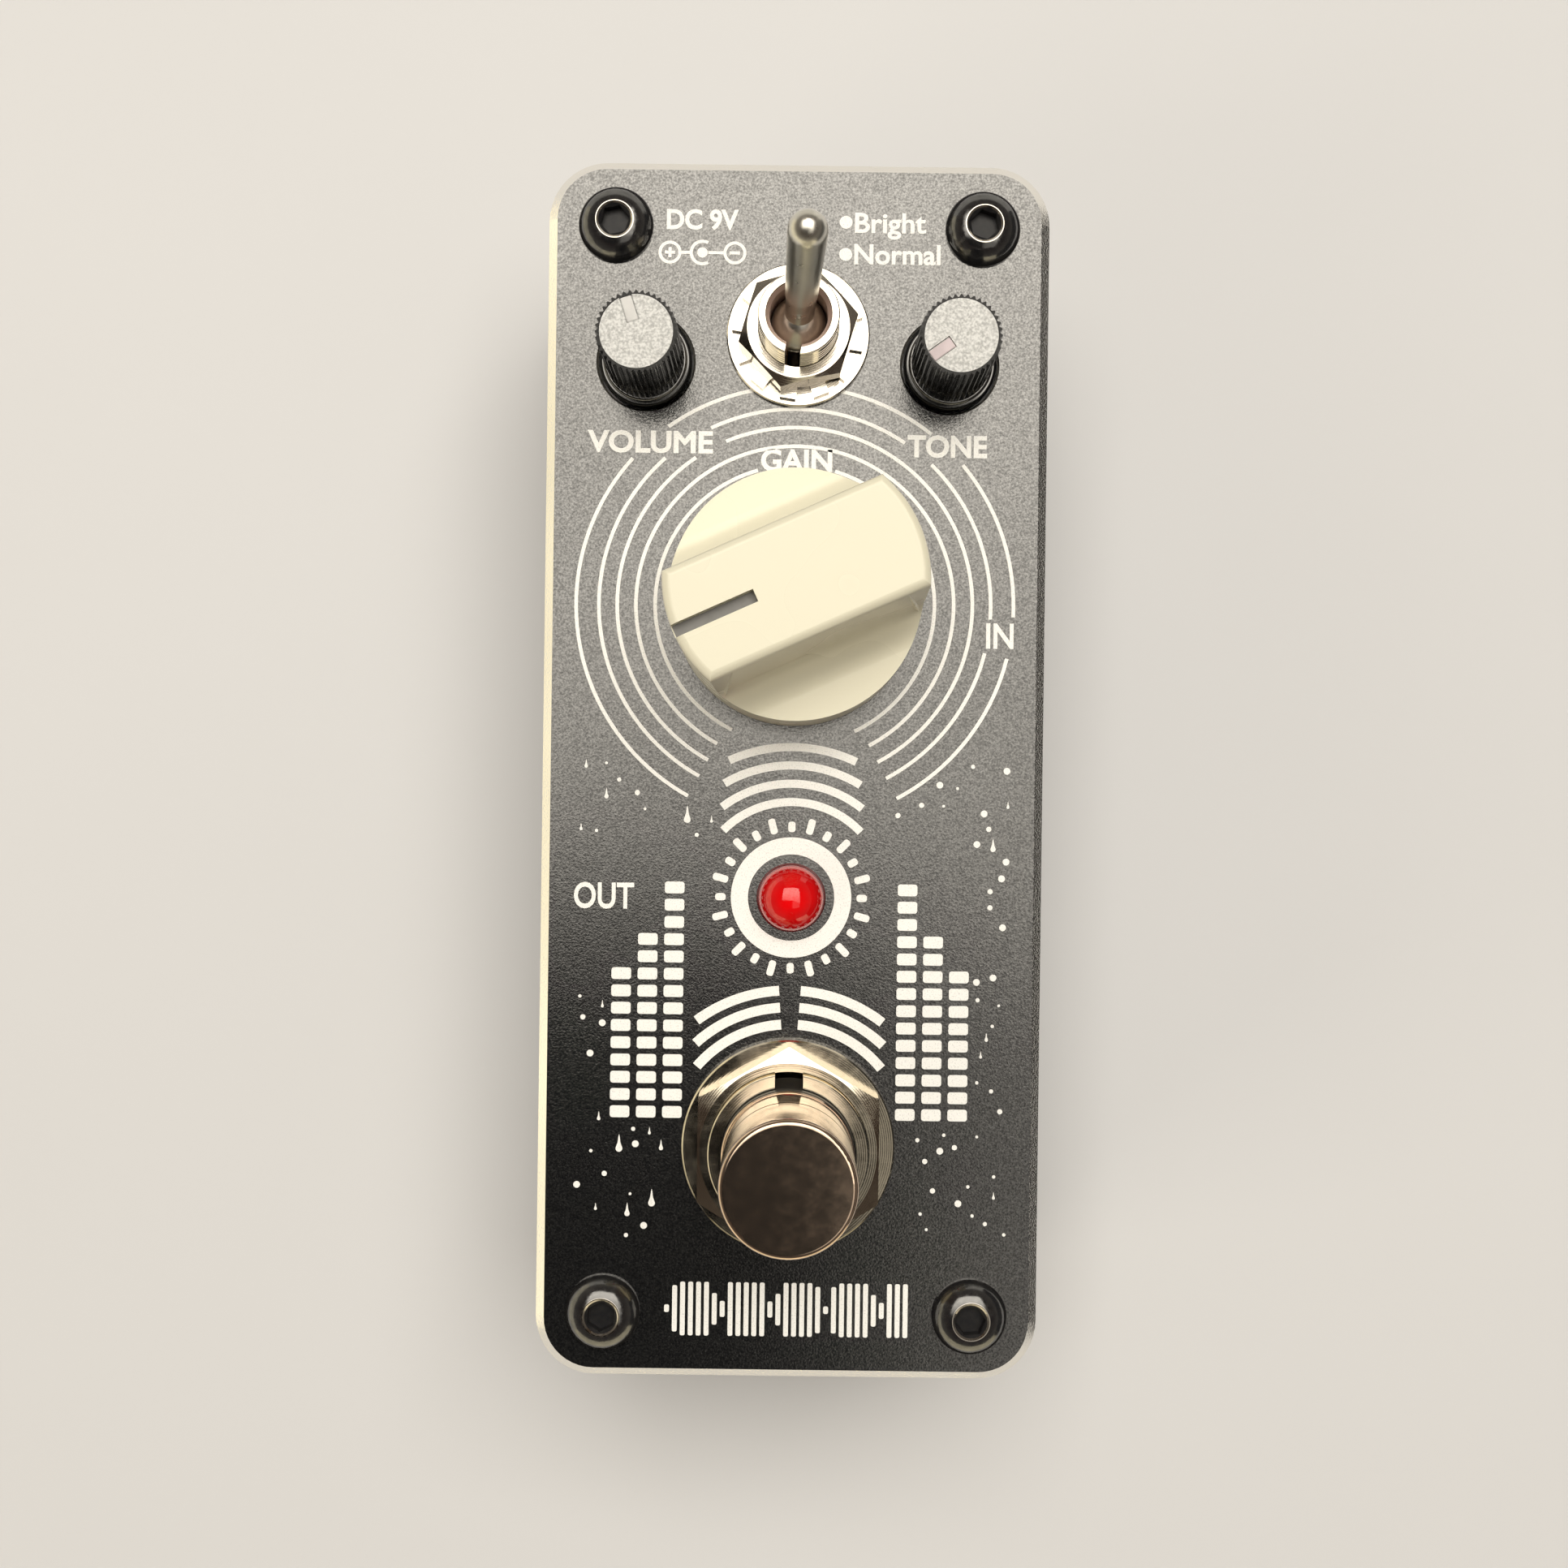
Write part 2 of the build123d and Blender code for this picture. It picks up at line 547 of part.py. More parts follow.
# ---------------------------------------------------------------- indicator lamp
LED_R = 2.5
LED_HIGH = 3.4
led_axis = Axis((0, LED_Y, 0), (0, 0, 1))
led_section = Plane(origin=(0, LED_Y, 0), x_dir=(1, 0, 0), z_dir=(0, -1, 0))
DOME_FOOT = PANEL_TOP + LED_HIGH - LED_R
with BuildPart() as led_lens:
    with BuildSketch(led_section):
        with BuildLine():
            Polyline((0, PANEL_TOP + LED_HIGH), (0, RIM - 1.0), (2.95, RIM - 1.0),
                     (2.95, RIM), (LED_R, RIM), (LED_R, DOME_FOOT))
            ThreePointArc((LED_R, DOME_FOOT),
                          (LED_R * cos(pi / 4), DOME_FOOT + LED_R * sin(pi / 4)),
                          (0, DOME_FOOT + LED_R))
        make_face()
    revolve(axis=led_axis)
save(led_lens, "led_lens")

LEAD_X = 1.27
with BuildPart() as led_leads:
    for side in (-1, 1):
        blade(side * LEAD_X, LED_Y, BOARD_BOTTOM, RIM - 1.0, 0.5, 0.5)
save(led_leads, "led_leads")

with BuildPart() as led_spacer:
    with BuildSketch(Plane.XY.offset(BOARD_TOP)):
        with Locations((0, LED_Y)):
            Circle(LED_R)
        with Locations((-LEAD_X, LED_Y), (LEAD_X, LED_Y)):
            Rectangle(0.5 + LEAD_GAP, 0.5 + LEAD_GAP, mode=Mode.SUBTRACT)
    extrude(amount=RIM - 1.0 - BOARD_TOP)
save(led_spacer, "led_spacer")


# ---------------------------------------------------------------- phone jacks
def jack(side, along, name):
    """Board-mounted phone jack whose nozzle ends flush with the side wall."""
    mouth = Plane(origin=(side * WIDTH / 2, along, JACK_Z), x_dir=(0, side, 0), z_dir=(side, 0, 0))
    front = WALL + 0.1
    with BuildPart() as housing:
        with BuildSketch(mouth.offset(-front)):
            Rectangle(JACK_WIDE, JACK_HIGH)
        extrude(amount=-JACK_DEEP)
        fillet(housing.edges().filter_by(Axis.X), 0.8)
        with BuildSketch(mouth):
            Circle(JACK_NOZZLE_R)
        extrude(amount=-front - 1.0)
        with BuildSketch(mouth):
            Circle(JACK_BORE_R)
        extrude(amount=-front - JACK_DEEP, mode=Mode.SUBTRACT)
        for reach in JACK_CONTACTS:
            with BuildSketch(Plane.XY.offset(JACK_Z + JACK_BORE_R - 0.4)):
                with Locations((side * (WIDTH / 2 - reach), along)):
                    Rectangle(0.5 + LEAD_GAP, 2.2 + LEAD_GAP)
            extrude(amount=JACK_HIGH, mode=Mode.SUBTRACT)
        rim = housing.edges().filter_by(GeomType.CIRCLE).sort_by(Axis.X)
        rim = rim.filter_by(lambda e: abs(e.radius - JACK_BORE_R) < 0.01)
        chamfer(rim[-1] if side > 0 else rim[0], 0.4)
    save(housing, f"{name}_housing")
    with BuildPart() as contacts:
        for reach in JACK_CONTACTS:
            blade(side * (WIDTH / 2 - reach), along, JACK_Z + JACK_BORE_R + 0.12,
                  BOARD_TOP + 0.5, 0.5, 2.2)
    save(contacts, f"{name}_contacts")


jack(1, INPUT_Y, "input_jack")
jack(-1, OUTPUT_Y, "output_jack")

# ---------------------------------------------------------------- power socket
dc_mouth = Plane(origin=(0, LENGTH / 2, DC_Z), x_dir=(-1, 0, 0), z_dir=(0, 1, 0))
DC_FRONT = WALL + 0.1
with BuildPart() as dc_jack_housing:
    with BuildSketch(dc_mouth.offset(-DC_FRONT)):
        with Locations((0, DC_TOP - DC_Z - DC_HIGH / 2)):
            Rectangle(DC_WIDE, DC_HIGH)
    extrude(amount=-DC_DEEP)
    with BuildSketch(dc_mouth):
        Circle(DC_NOZZLE_R)
    extrude(amount=-DC_FRONT - 1.0)
    with BuildSketch(dc_mouth):
        Circle(DC_BORE_R)
    extrude(amount=-DC_BORE_DEEP, mode=Mode.SUBTRACT)
    with BuildSketch(dc_mouth):
        Circle(DC_TAIL_R)
    extrude(amount=-DC_BORE_DEEP - 2.0, mode=Mode.SUBTRACT)
save(dc_jack_housing, "dc_jack_housing")

with BuildPart() as dc_jack_pin:
    with BuildSketch(dc_mouth.offset(-DC_BORE_DEEP - 2.0)):
        Circle(DC_TAIL_R)
    extrude(amount=2.0)
    with BuildSketch(dc_mouth.offset(-DC_BORE_DEEP)):
        Circle(DC_PIN_R)
    extrude(amount=DC_BORE_DEEP - 0.6)
    fillet(dc_jack_pin.edges().filter_by(GeomType.CIRCLE).sort_by(Axis.Y)[-1], 0.35)
save(dc_jack_pin, "dc_jack_pin")

DC_CONTACTS = ((-3.0, 36.0), (3.0, 36.0), (-3.0, 31.8))
with BuildPart() as dc_jack_contacts:
    for x, y in DC_CONTACTS:
        blade(x, y, DC_TOP, BOARD_TOP + 0.4, 0.6, 2.0)
    with BuildSketch(Plane.XY.offset(DC_Z - DC_BORE_R + 0.36)):
        with Locations((0, LENGTH / 2 - DC_BORE_DEEP / 2)):
            Rectangle(2.2, DC_BORE_DEEP - 1.4)
    extrude(amount=0.25)
save(dc_jack_contacts, "dc_jack_contacts")


# ---------------------------------------------------------------- controls
def pot(x, y, body_x, body_y, shaft_r, lug_y, name, top=POT_TOP):
    """Board-mounted potentiometer: case with a bearing bore, and three lugs."""
    with BuildPart() as body:
        with BuildSketch(Plane.XY.offset(POT_BOTTOM)):
            with Locations((x, y)):
                Rectangle(body_x, body_y)
        extrude(amount=POT_HIGH)
        chamfer(body.edges().filter_by(Axis.Z), 0.6)
        with BuildSketch(Plane.XY.offset(POT_TOP)):
            with Locations((x, y)):
                Circle(shaft_r + 1.2)
        extrude(amount=top - POT_TOP)
        with BuildSketch(Plane.XY.offset(POT_BOTTOM + 1.2)):
            with Locations((x, y)):
                Circle(shaft_r + 0.06)
        extrude(amount=top, mode=Mode.SUBTRACT)
    save(body, f"{name}_pot_body")
    with BuildPart() as lugs:
        for step in (-1, 0, 1):
            blade(x + step * 2.5, y + lug_y, BOARD_BOTTOM, POT_BOTTOM + 1.0, 0.9, 0.4)
    save(lugs, f"{name}_pot_lugs")


GAIN_LUG = -6.3
COLLAR_HIGH = 0.01
SMALL_LUG = -5.4
pot(0, GAIN_Y, 11.0, 12.0, GAIN_SHAFT_R, GAIN_LUG, "gain", top=POT_TOP + COLLAR_HIGH)
SMALL_KNOBS = (("volume", -KNOB_X, VOLUME_POINTS), ("tone", KNOB_X, TONE_POINTS))
for name, x, _ in SMALL_KNOBS:
    pot(x, KNOB_Y, 9.4, 10.0, SMALL_SHAFT_R, SMALL_LUG, name, top=RIM - 0.3)

gain_axis = Axis((0, GAIN_Y, 0), (0, 0, 1))
gain_base = Plane((0, GAIN_Y, 0))
gain_section = Plane(origin=(0, GAIN_Y, 0), x_dir=(1, 0, 0), z_dir=(0, -1, 0))
GAIN_NUT_TOP = PANEL_TOP + 2.0
with BuildPart() as gain_pot_bushing:
    with BuildSketch(gain_section):
        with BuildLine():
            Polyline(*thread_outline(GAIN_BUSH_R, POT_TOP + COLLAR_HIGH, GAIN_NUT_TOP + 0.6,
                                     0.75, 0.15, GAIN_SHAFT_R + 0.06), close=True)
        make_face()
    revolve(axis=gain_axis)
save(gain_pot_bushing, "gain_pot_bushing")

gain_pot_nut = hex_nut(gain_base.offset(PANEL_TOP), 10.0, GAIN_BUSH_R + 0.05, 2.0, 0)
save(gain_pot_nut, "gain_pot_nut")

KNOB_FOOT = PANEL_TOP + 0.6
with BuildPart() as gain_pot_shaft:
    with BuildSketch(gain_base.offset(POT_BOTTOM + 1.4)):
        Circle(GAIN_SHAFT_R)
    extrude(amount=PANEL_TOP + 12.0 - POT_BOTTOM - 1.4)
    chamfer(gain_pot_shaft.faces().sort_by(Axis.Z)[-1].edges(), 0.5)
save(gain_pot_shaft, "gain_pot_shaft")

# Bar knob: a round body with both sides cut away to leave a drafted grip bar
KNOB_TOP = PANEL_TOP + GAIN_KNOB_HIGH
KNOB_RIM = PANEL_TOP + GAIN_RIM_HIGH
points = radians(GAIN_POINTS)
along_bar = (cos(points), sin(points), 0)
across_bar = (-sin(points), cos(points), 0)
bar_section = Plane(origin=(0, GAIN_Y, 0), x_dir=across_bar, z_dir=along_bar)
bar_plan = Plane(origin=(0, GAIN_Y, 0), x_dir=along_bar, z_dir=(0, 0, 1))
CUT_OUT = GAIN_KNOB_R + 1.0
WEB_FOOT = KNOB_RIM - 0.6
WEB_TOP = KNOB_TOP - GAIN_TOP_ROUND - 0.1
WEB_LEVELS = ((WEB_FOOT, (6.3, 8.6, 7.75, 4.95)), (WEB_TOP, (6.0, 6.9, 6.4, 4.06)))
with BuildPart() as knob_webs:
    for end in (-1, 1):
        for hand in (-1, 1):
            for height, (inner, outer, crest, reach) in WEB_LEVELS:
                with BuildSketch(bar_plan.offset(height)):
                    with BuildLine():
                        Polyline((end * inner, hand * 3.6), (end * outer, hand * 3.6),
                                 (end * crest, hand * reach), close=True)
                    make_face()
            loft(ruled=True)
    with BuildSketch(gain_base.offset(WEB_FOOT)):
        Circle(GAIN_KNOB_R - GAIN_KNOB_DRAFT)
    extrude(amount=WEB_TOP - WEB_FOOT, mode=Mode.INTERSECT)

with BuildPart() as gain_knob:
    with BuildSketch(bar_section):
        with BuildLine():
            Polyline((0, KNOB_FOOT), (GAIN_KNOB_R, KNOB_FOOT),
                     (GAIN_KNOB_R - GAIN_KNOB_DRAFT, KNOB_TOP), (0, KNOB_TOP), close=True)
        make_face()
    revolve(axis=gain_axis)
    with BuildSketch(bar_section) as sides:
        with BuildLine():
            Polyline((GAIN_BAR_TOP, KNOB_TOP), (GAIN_BAR_FOOT, KNOB_RIM), (CUT_OUT, KNOB_RIM),
                     (CUT_OUT, KNOB_TOP), close=True)
        make_face()
        fillet(sides.vertices().sort_by_distance((GAIN_BAR_FOOT, KNOB_RIM))[0], 2.4)
        mirror(about=Plane.YZ)
    extrude(amount=CUT_OUT, both=True, mode=Mode.SUBTRACT)
    fillet(gain_knob.faces().sort_by(Axis.Z)[-1].edges(), GAIN_TOP_ROUND)
    add(knob_webs.part)
    with BuildSketch(bar_plan.offset(KNOB_TOP - GAIN_SLOT_DEEP)):
        with Locations((GAIN_KNOB_R - GAIN_SLOT_LONG / 2 + 0.5, 0)):
            Rectangle(GAIN_SLOT_LONG + 1.0, GAIN_SLOT_WIDE)
    extrude(amount=GAIN_SLOT_DEEP + 1.0, mode=Mode.SUBTRACT)
    with BuildSketch(gain_base.offset(KNOB_FOOT)):
        Circle(6.4)
    extrude(amount=PANEL_TOP + 3.4 - KNOB_FOOT, mode=Mode.SUBTRACT)
    with BuildSketch(gain_base.offset(KNOB_FOOT)):
        Circle(GAIN_SHAFT_R + 0.02)
    extrude(amount=PANEL_TOP + 12.1 - KNOB_FOOT, mode=Mode.SUBTRACT)
save(gain_knob, "gain_knob")


def ridged(radius):
    """Outline of the small knobs' grip: pointed ridges round a circle."""
    valley = radius - SMALL_RIDGE_DEEP
    corners = []
    for ridge in range(SMALL_RIDGES):
        for share, r in ((0.0, radius), (0.16, radius), (0.5, valley), (0.66, valley)):
            turn = 2 * pi * (ridge + share) / SMALL_RIDGES
            corners.append((r * cos(turn), r * sin(turn)))
    return corners


def small_knob(name, x, points_to):
    """Pressed-on knob: glossy flange, ridged grip, inlaid cap with a pointer recess."""
    place = Plane(Location((x, KNOB_Y, 0), (0, 0, points_to)))
    top = PANEL_TOP + SMALL_HIGH
    grip_foot = PANEL_TOP + 1.0
    with BuildPart() as knob:
        with BuildSketch(place.offset(PANEL_TOP - 0.7)):
            Circle(SMALL_FLANGE_R)
        extrude(amount=1.2)
        fillet(knob.edges().filter_by(GeomType.CIRCLE).group_by(Axis.Z)[-1], 0.2)
        with BuildSketch(place.offset(PANEL_TOP + 0.5)):
            Circle(SMALL_SHOULDER_R)
        extrude(amount=grip_foot - PANEL_TOP - 0.5)
        fillet(knob.edges().filter_by(GeomType.CIRCLE).group_by(Axis.Z)[-1], 0.22)
        for height, radius in ((grip_foot, SMALL_FOOT_R), (top, SMALL_TOP_R)):
            with BuildSketch(place.offset(height)):
                with BuildLine():
                    Polyline(*ridged(radius), close=True)
                make_face()
        loft(ruled=True)
        with BuildSketch(place.offset(top - 0.5)):
            Circle(SMALL_CAP_R + 0.02)
        extrude(amount=1.0, mode=Mode.SUBTRACT)
        with BuildSketch(place.offset(PANEL_TOP - 1.0)):
            Circle(SMALL_SHAFT_R + 0.02)
        extrude(amount=SMALL_HIGH - 1.0, mode=Mode.SUBTRACT)
    save(knob, f"{name}_knob")
    with BuildPart() as cap:
        with BuildSketch(place.offset(top - 0.5)):
            Circle(SMALL_CAP_R)
        extrude(amount=0.56)
        with BuildSketch(place.offset(top - 0.2)):
            with Locations((SMALL_CAP_R - 0.9, 0)):
                Rectangle(2.0, 0.95)
        extrude(amount=1.0, mode=Mode.SUBTRACT)
    save(cap, f"{name}_knob_cap")
    with BuildPart() as shaft:
        with BuildSketch(place.offset(POT_BOTTOM + 1.4)):
            Circle(SMALL_SHAFT_R)
        extrude(amount=PANEL_TOP + SMALL_HIGH - 2.2 - POT_BOTTOM - 1.4)
        chamfer(shaft.faces().sort_by(Axis.Z)[-1].edges(), 0.3)
    save(shaft, f"{name}_pot_shaft")


for name, x, points_to in SMALL_KNOBS:
    small_knob(name, x, points_to)

# ---------------------------------------------------------------- main board
AMP_X = -11.0
AMP_Y = 0.2
AMP_LEG_STEP = 2.54
AMP_ROW = 7.6
RESISTOR_LEADS = 9.6
RESISTORS = ((-10.0, -15.8), (-10.0, -12.9), (-10.0, -6.2), (10.8, -15.8), (10.8, -12.6),
             (10.8, -9.4), (10.8, 20.4), (-10.8, 20.4))
DIODES = ((10.8, -6.2), (10.8, -3.6))
FILM_CAPS = ((8.2, 1.0), (11.8, 1.0), (15.2, 1.0), (-9.0, 9.4), (-12.4, 9.4))
ELECTROLYTICS = ((9.2, 10.0), (12.0, 15.6), (-11.8, 16.2))
with BuildPart() as main_board:
    with BuildSketch(Plane.XY.offset(BOARD_BOTTOM)):
        with BuildLine():
            Polyline((-BOARD_X, BOARD_FRONT), (BOARD_X, BOARD_FRONT), (BOARD_X, BOARD_BACK),
                     (BOARD_TONGUE_X, BOARD_BACK), (BOARD_TONGUE_X, BOARD_TONGUE_Y),
                     (-BOARD_TONGUE_X, BOARD_TONGUE_Y), (-BOARD_TONGUE_X, BOARD_BACK),
                     (-BOARD_X, BOARD_BACK), close=True)
        make_face()
        for side, along in ((1, INPUT_Y), (-1, OUTPUT_Y)):
            with Locations(*[(side * (WIDTH / 2 - reach), along) for reach in JACK_CONTACTS]):
                Rectangle(0.5 + LEAD_GAP, 2.2 + LEAD_GAP, mode=Mode.SUBTRACT)
        with Locations(*DC_CONTACTS):
            Rectangle(0.6 + LEAD_GAP, 2.0 + LEAD_GAP, mode=Mode.SUBTRACT)
        with Locations((-LEAD_X, LED_Y), (LEAD_X, LED_Y)):
            Rectangle(0.5 + LEAD_GAP, 0.5 + LEAD_GAP, mode=Mode.SUBTRACT)
        for x, y in ((0, GAIN_Y + GAIN_LUG), (-KNOB_X, KNOB_Y + SMALL_LUG), (KNOB_X, KNOB_Y + SMALL_LUG)):
            with Locations((x - 2.5, y), (x, y), (x + 2.5, y)):
                Rectangle(0.9 + LEAD_GAP, 0.4 + LEAD_GAP, mode=Mode.SUBTRACT)
        with Locations(Location((0, TOGGLE_Y), TOGGLE_TURN)):
            with GridLocations(0, TOGGLE_LUG_STEP, 1, 3):
                Rectangle(1.8 + LEAD_GAP, 0.8 + LEAD_GAP, mode=Mode.SUBTRACT)
    extrude(amount=BOARD_THICK)
save(main_board, "main_board")

with BuildPart() as op_amp:
    with BuildSketch(Plane.XY.offset(BOARD_TOP + 0.6)):
        with Locations((AMP_X, AMP_Y)):
            Rectangle(6.4, 9.3)
    extrude(amount=3.3)
    chamfer(op_amp.edges().filter_by(Axis.Z), 0.2)
    with BuildSketch(Plane.XY.offset(BOARD_TOP + 3.6)):
        with Locations((AMP_X, AMP_Y + 4.65)):
            Circle(0.8)
    extrude(amount=1.0, mode=Mode.SUBTRACT)
save(op_amp, "op_amp")

with BuildPart() as component_leads:
    with BuildSketch(Plane.XY.offset(BOARD_TOP)):
        with Locations((AMP_X, AMP_Y)):
            with GridLocations(AMP_ROW, AMP_LEG_STEP, 2, 4):
                Rectangle(0.3, 0.8)
    extrude(amount=2.4)
    for x, y in RESISTORS + DIODES:
        with BuildSketch(Plane.XY.offset(BOARD_TOP)):
            with Locations((x - RESISTOR_LEADS / 2, y), (x + RESISTOR_LEADS / 2, y)):
                Rectangle(0.6, 0.6)
        extrude(amount=1.6)
save(component_leads, "component_leads")


def lying(places, radius, long):
    """Round bodies lying along X above the board."""
    with Locations(*[(x, y, BOARD_TOP + radius + 0.1) for x, y in places]):
        Cylinder(radius, long, rotation=(0, 90, 0))


with BuildPart() as resistors:
    lying(RESISTORS, 1.1, RESISTOR_LEADS - 0.7)
save(resistors, "resistors")

with BuildPart() as diodes:
    lying(DIODES, 0.9, RESISTOR_LEADS - 0.7)
save(diodes, "diodes")

with BuildPart() as film_capacitors:
    with BuildSketch(Plane.XY.offset(BOARD_TOP)):
        with Locations(*FILM_CAPS):
            Rectangle(2.6, 7.2)
    extrude(amount=6.5)
    fillet(film_capacitors.edges().filter_by(Axis.Z), 0.4)
save(film_capacitors, "film_capacitors")

with BuildPart() as electrolytic_capacitors:
    with BuildSketch(Plane.XY.offset(BOARD_TOP)):
        with Locations(*ELECTROLYTICS):
            Circle(2.5)
    extrude(amount=7.0)
    fillet(electrolytic_capacitors.edges().filter_by(GeomType.CIRCLE).group_by(Axis.Z)[-1], 0.4)
save(electrolytic_capacitors, "electrolytic_capacitors")
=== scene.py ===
"""Looks of the mini guitar distortion pedal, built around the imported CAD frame. Metres throughout."""

import random
from math import cos, pi, radians, sin

import bmesh
import bpy
from mathutils import Matrix, Vector


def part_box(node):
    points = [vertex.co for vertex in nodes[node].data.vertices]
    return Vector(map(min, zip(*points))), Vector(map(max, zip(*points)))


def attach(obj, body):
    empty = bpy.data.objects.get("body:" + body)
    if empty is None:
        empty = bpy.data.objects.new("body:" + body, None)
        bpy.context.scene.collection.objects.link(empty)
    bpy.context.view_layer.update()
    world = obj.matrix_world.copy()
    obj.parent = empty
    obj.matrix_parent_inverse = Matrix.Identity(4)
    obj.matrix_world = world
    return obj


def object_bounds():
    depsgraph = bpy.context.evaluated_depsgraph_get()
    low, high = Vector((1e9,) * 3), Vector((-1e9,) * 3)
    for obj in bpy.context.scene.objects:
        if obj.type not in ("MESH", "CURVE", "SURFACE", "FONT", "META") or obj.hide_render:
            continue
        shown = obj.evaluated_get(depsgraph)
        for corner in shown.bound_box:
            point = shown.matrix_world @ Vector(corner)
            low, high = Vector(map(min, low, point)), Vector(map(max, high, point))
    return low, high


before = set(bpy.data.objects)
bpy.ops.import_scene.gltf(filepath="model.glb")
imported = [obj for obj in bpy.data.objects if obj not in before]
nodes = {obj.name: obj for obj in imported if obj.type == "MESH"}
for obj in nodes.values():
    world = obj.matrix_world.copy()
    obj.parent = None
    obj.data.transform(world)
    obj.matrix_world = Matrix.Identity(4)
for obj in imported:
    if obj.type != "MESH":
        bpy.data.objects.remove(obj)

MM = 0.001
cad_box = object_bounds()
PEDAL = "pedal"

# ---------------------------------------------------------------- places from the frame
PANEL_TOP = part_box("top_panel")[1].z
INK = 0.03 * MM


def axis_of(node):
    """Centre of a node's box in plan, where its turning axis stands."""
    low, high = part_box(node)
    return (low.x + high.x) / 2, (low.y + high.y) / 2


GAIN = axis_of("gain_pot_nut")
GAIN_POINTS = 204.4  # degrees from X towards which the gain pointer stands
STOMP = axis_of("footswitch_washer")
TOGGLE = axis_of("toggle_washer")
LAMP = axis_of("led_lens")


# ---------------------------------------------------------------- material helpers
class Shader:
    """A Principled material under construction, with short calls for its texture nodes."""

    def __init__(self, name, base, rough, metallic=0.0):
        self.mat = bpy.data.materials.new(name)
        self.mat.use_nodes = True
        self.tree = self.mat.node_tree
        self.bsdf = self.tree.nodes["Principled BSDF"]
        self.bsdf.inputs["Base Color"].default_value = (*base, 1)
        self.bsdf.inputs["Roughness"].default_value = rough
        self.bsdf.inputs["Metallic"].default_value = metallic
        self.mat.diffuse_color = (*base, 1)
        self.coords = self.tree.nodes.new("ShaderNodeTexCoord").outputs["Object"]

    def set(self, **values):
        for socket, value in values.items():
            self.bsdf.inputs[socket.replace("_", " ")].default_value = value
        return self

    def link(self, output, socket):
        self.tree.links.new(output, self.bsdf.inputs[socket])
        return self

    def node(self, kind, **inputs):
        made = self.tree.nodes.new("ShaderNode" + kind)
        for socket, value in inputs.items():
            target = made.inputs[socket.replace("_", " ")]
            if isinstance(value, bpy.types.NodeSocket):
                self.tree.links.new(value, target)
            else:
                target.default_value = value
        return made

    def math(self, operation, a, b=0.0, clamp=False):
        made = self.tree.nodes.new("ShaderNodeMath")
        made.operation = operation
        made.use_clamp = clamp
        for socket, value in zip(made.inputs, (a, b)):
            if isinstance(value, bpy.types.NodeSocket):
                self.tree.links.new(value, socket)
            else:
                socket.default_value = value
        return made.outputs[0]

    def stretched(self, scale):
        made = self.node("Mapping", Vector=self.coords, Scale=scale)
        return made.outputs[0]

    def noise(self, feature_mm, detail=3.0, rough=0.55, vector=None):
        made = self.node("TexNoise", Vector=vector or self.coords, Scale=1 / (feature_mm * MM),
                         Detail=detail, Roughness=rough)
        return made.outputs["Fac"]

    def cells(self, feature_mm):
        made = self.node("TexVoronoi", Vector=self.coords, Scale=1 / (feature_mm * MM))
        return made.outputs["Distance"]

    def ramp(self, factor, low, high, start=0.0, end=1.0):
        """Maps factor from start..end to low..high, numbers or colours."""
        share = self.tree.nodes.new("ShaderNodeMapRange")
        share.inputs["From Min"].default_value = start
        share.inputs["From Max"].default_value = end
        self.tree.links.new(factor, share.inputs["Value"])
        if isinstance(low, (int, float)):
            share.inputs["To Min"].default_value = low
            share.inputs["To Max"].default_value = high
            return share.outputs[0]
        return self.mix(share.outputs[0], (*low, 1), (*high, 1))

    def mix(self, factor, a, b):
        made = self.tree.nodes.new("ShaderNodeMix")
        made.data_type = "RGBA"
        for socket, value in ((made.inputs[0], factor), (made.inputs[6], a), (made.inputs[7], b)):
            if isinstance(value, bpy.types.NodeSocket):
                self.tree.links.new(value, socket)
            else:
                socket.default_value = value
        return made.outputs[2]

    def blend(self, factor, a, b):
        """a where factor is 0, b where it is 1, for plain numbers or number sockets."""
        made = self.tree.nodes.new("ShaderNodeMix")
        for socket, value in ((made.inputs[0], factor), (made.inputs[2], a), (made.inputs[3], b)):
            if isinstance(value, bpy.types.NodeSocket):
                self.tree.links.new(value, socket)
            else:
                socket.default_value = value
        return made.outputs[0]

    def radius_from(self, centre, vector=None):
        """Distance in plan from an upright axis, in metres."""
        offset = self.node("VectorMath", Vector=vector or self.coords)
        offset.operation = "SUBTRACT"
        offset.inputs[1].default_value = (centre[0], centre[1], 0)
        flat = self.node("VectorMath", Vector=offset.outputs[0])
        flat.operation = "MULTIPLY"
        flat.inputs[1].default_value = (1, 1, 0)
        long = self.node("VectorMath", Vector=flat.outputs[0])
        long.operation = "LENGTH"
        return long.outputs["Value"]

    def normal_z(self):
        normal = self.node("NewGeometry").outputs["True Normal"]
        return self.node("SeparateXYZ", Vector=normal).outputs["Z"]

    def height(self):
        return self.node("SeparateXYZ", Vector=self.coords).outputs["Z"]

    def bump(self, height, depth_mm, before=None, strength=1.0):
        made = self.node("Bump", Height=height, Distance=depth_mm * MM, Strength=strength)
        if before is not None:
            self.tree.links.new(before, made.inputs["Normal"])
        return made.outputs["Normal"]


def dress(material, *names):
    """Gives CAD nodes their material."""
    for name in names:
        slots = nodes[name].data.materials
        slots.clear()
        slots.append(material)


# ---------------------------------------------------------------- materials
NICKEL = (0.72, 0.67, 0.59)
WARM_NICKEL = (0.62, 0.56, 0.45)
TOGGLE_BORE_R = 2.4 * MM
STOMP_COLLAR_HIGH = 4.9 * MM
SCREW_HEAD_R = 2.85 * MM
SOCKET_R, SOCKET_LIP_R = 1.24 * MM, 1.47 * MM
SOCKET_LIP_DEEP = 0.20 * MM
KNOB_FLANGE_FROM = 3.3 * MM
RIBBON_PITCH = 1.27 * MM


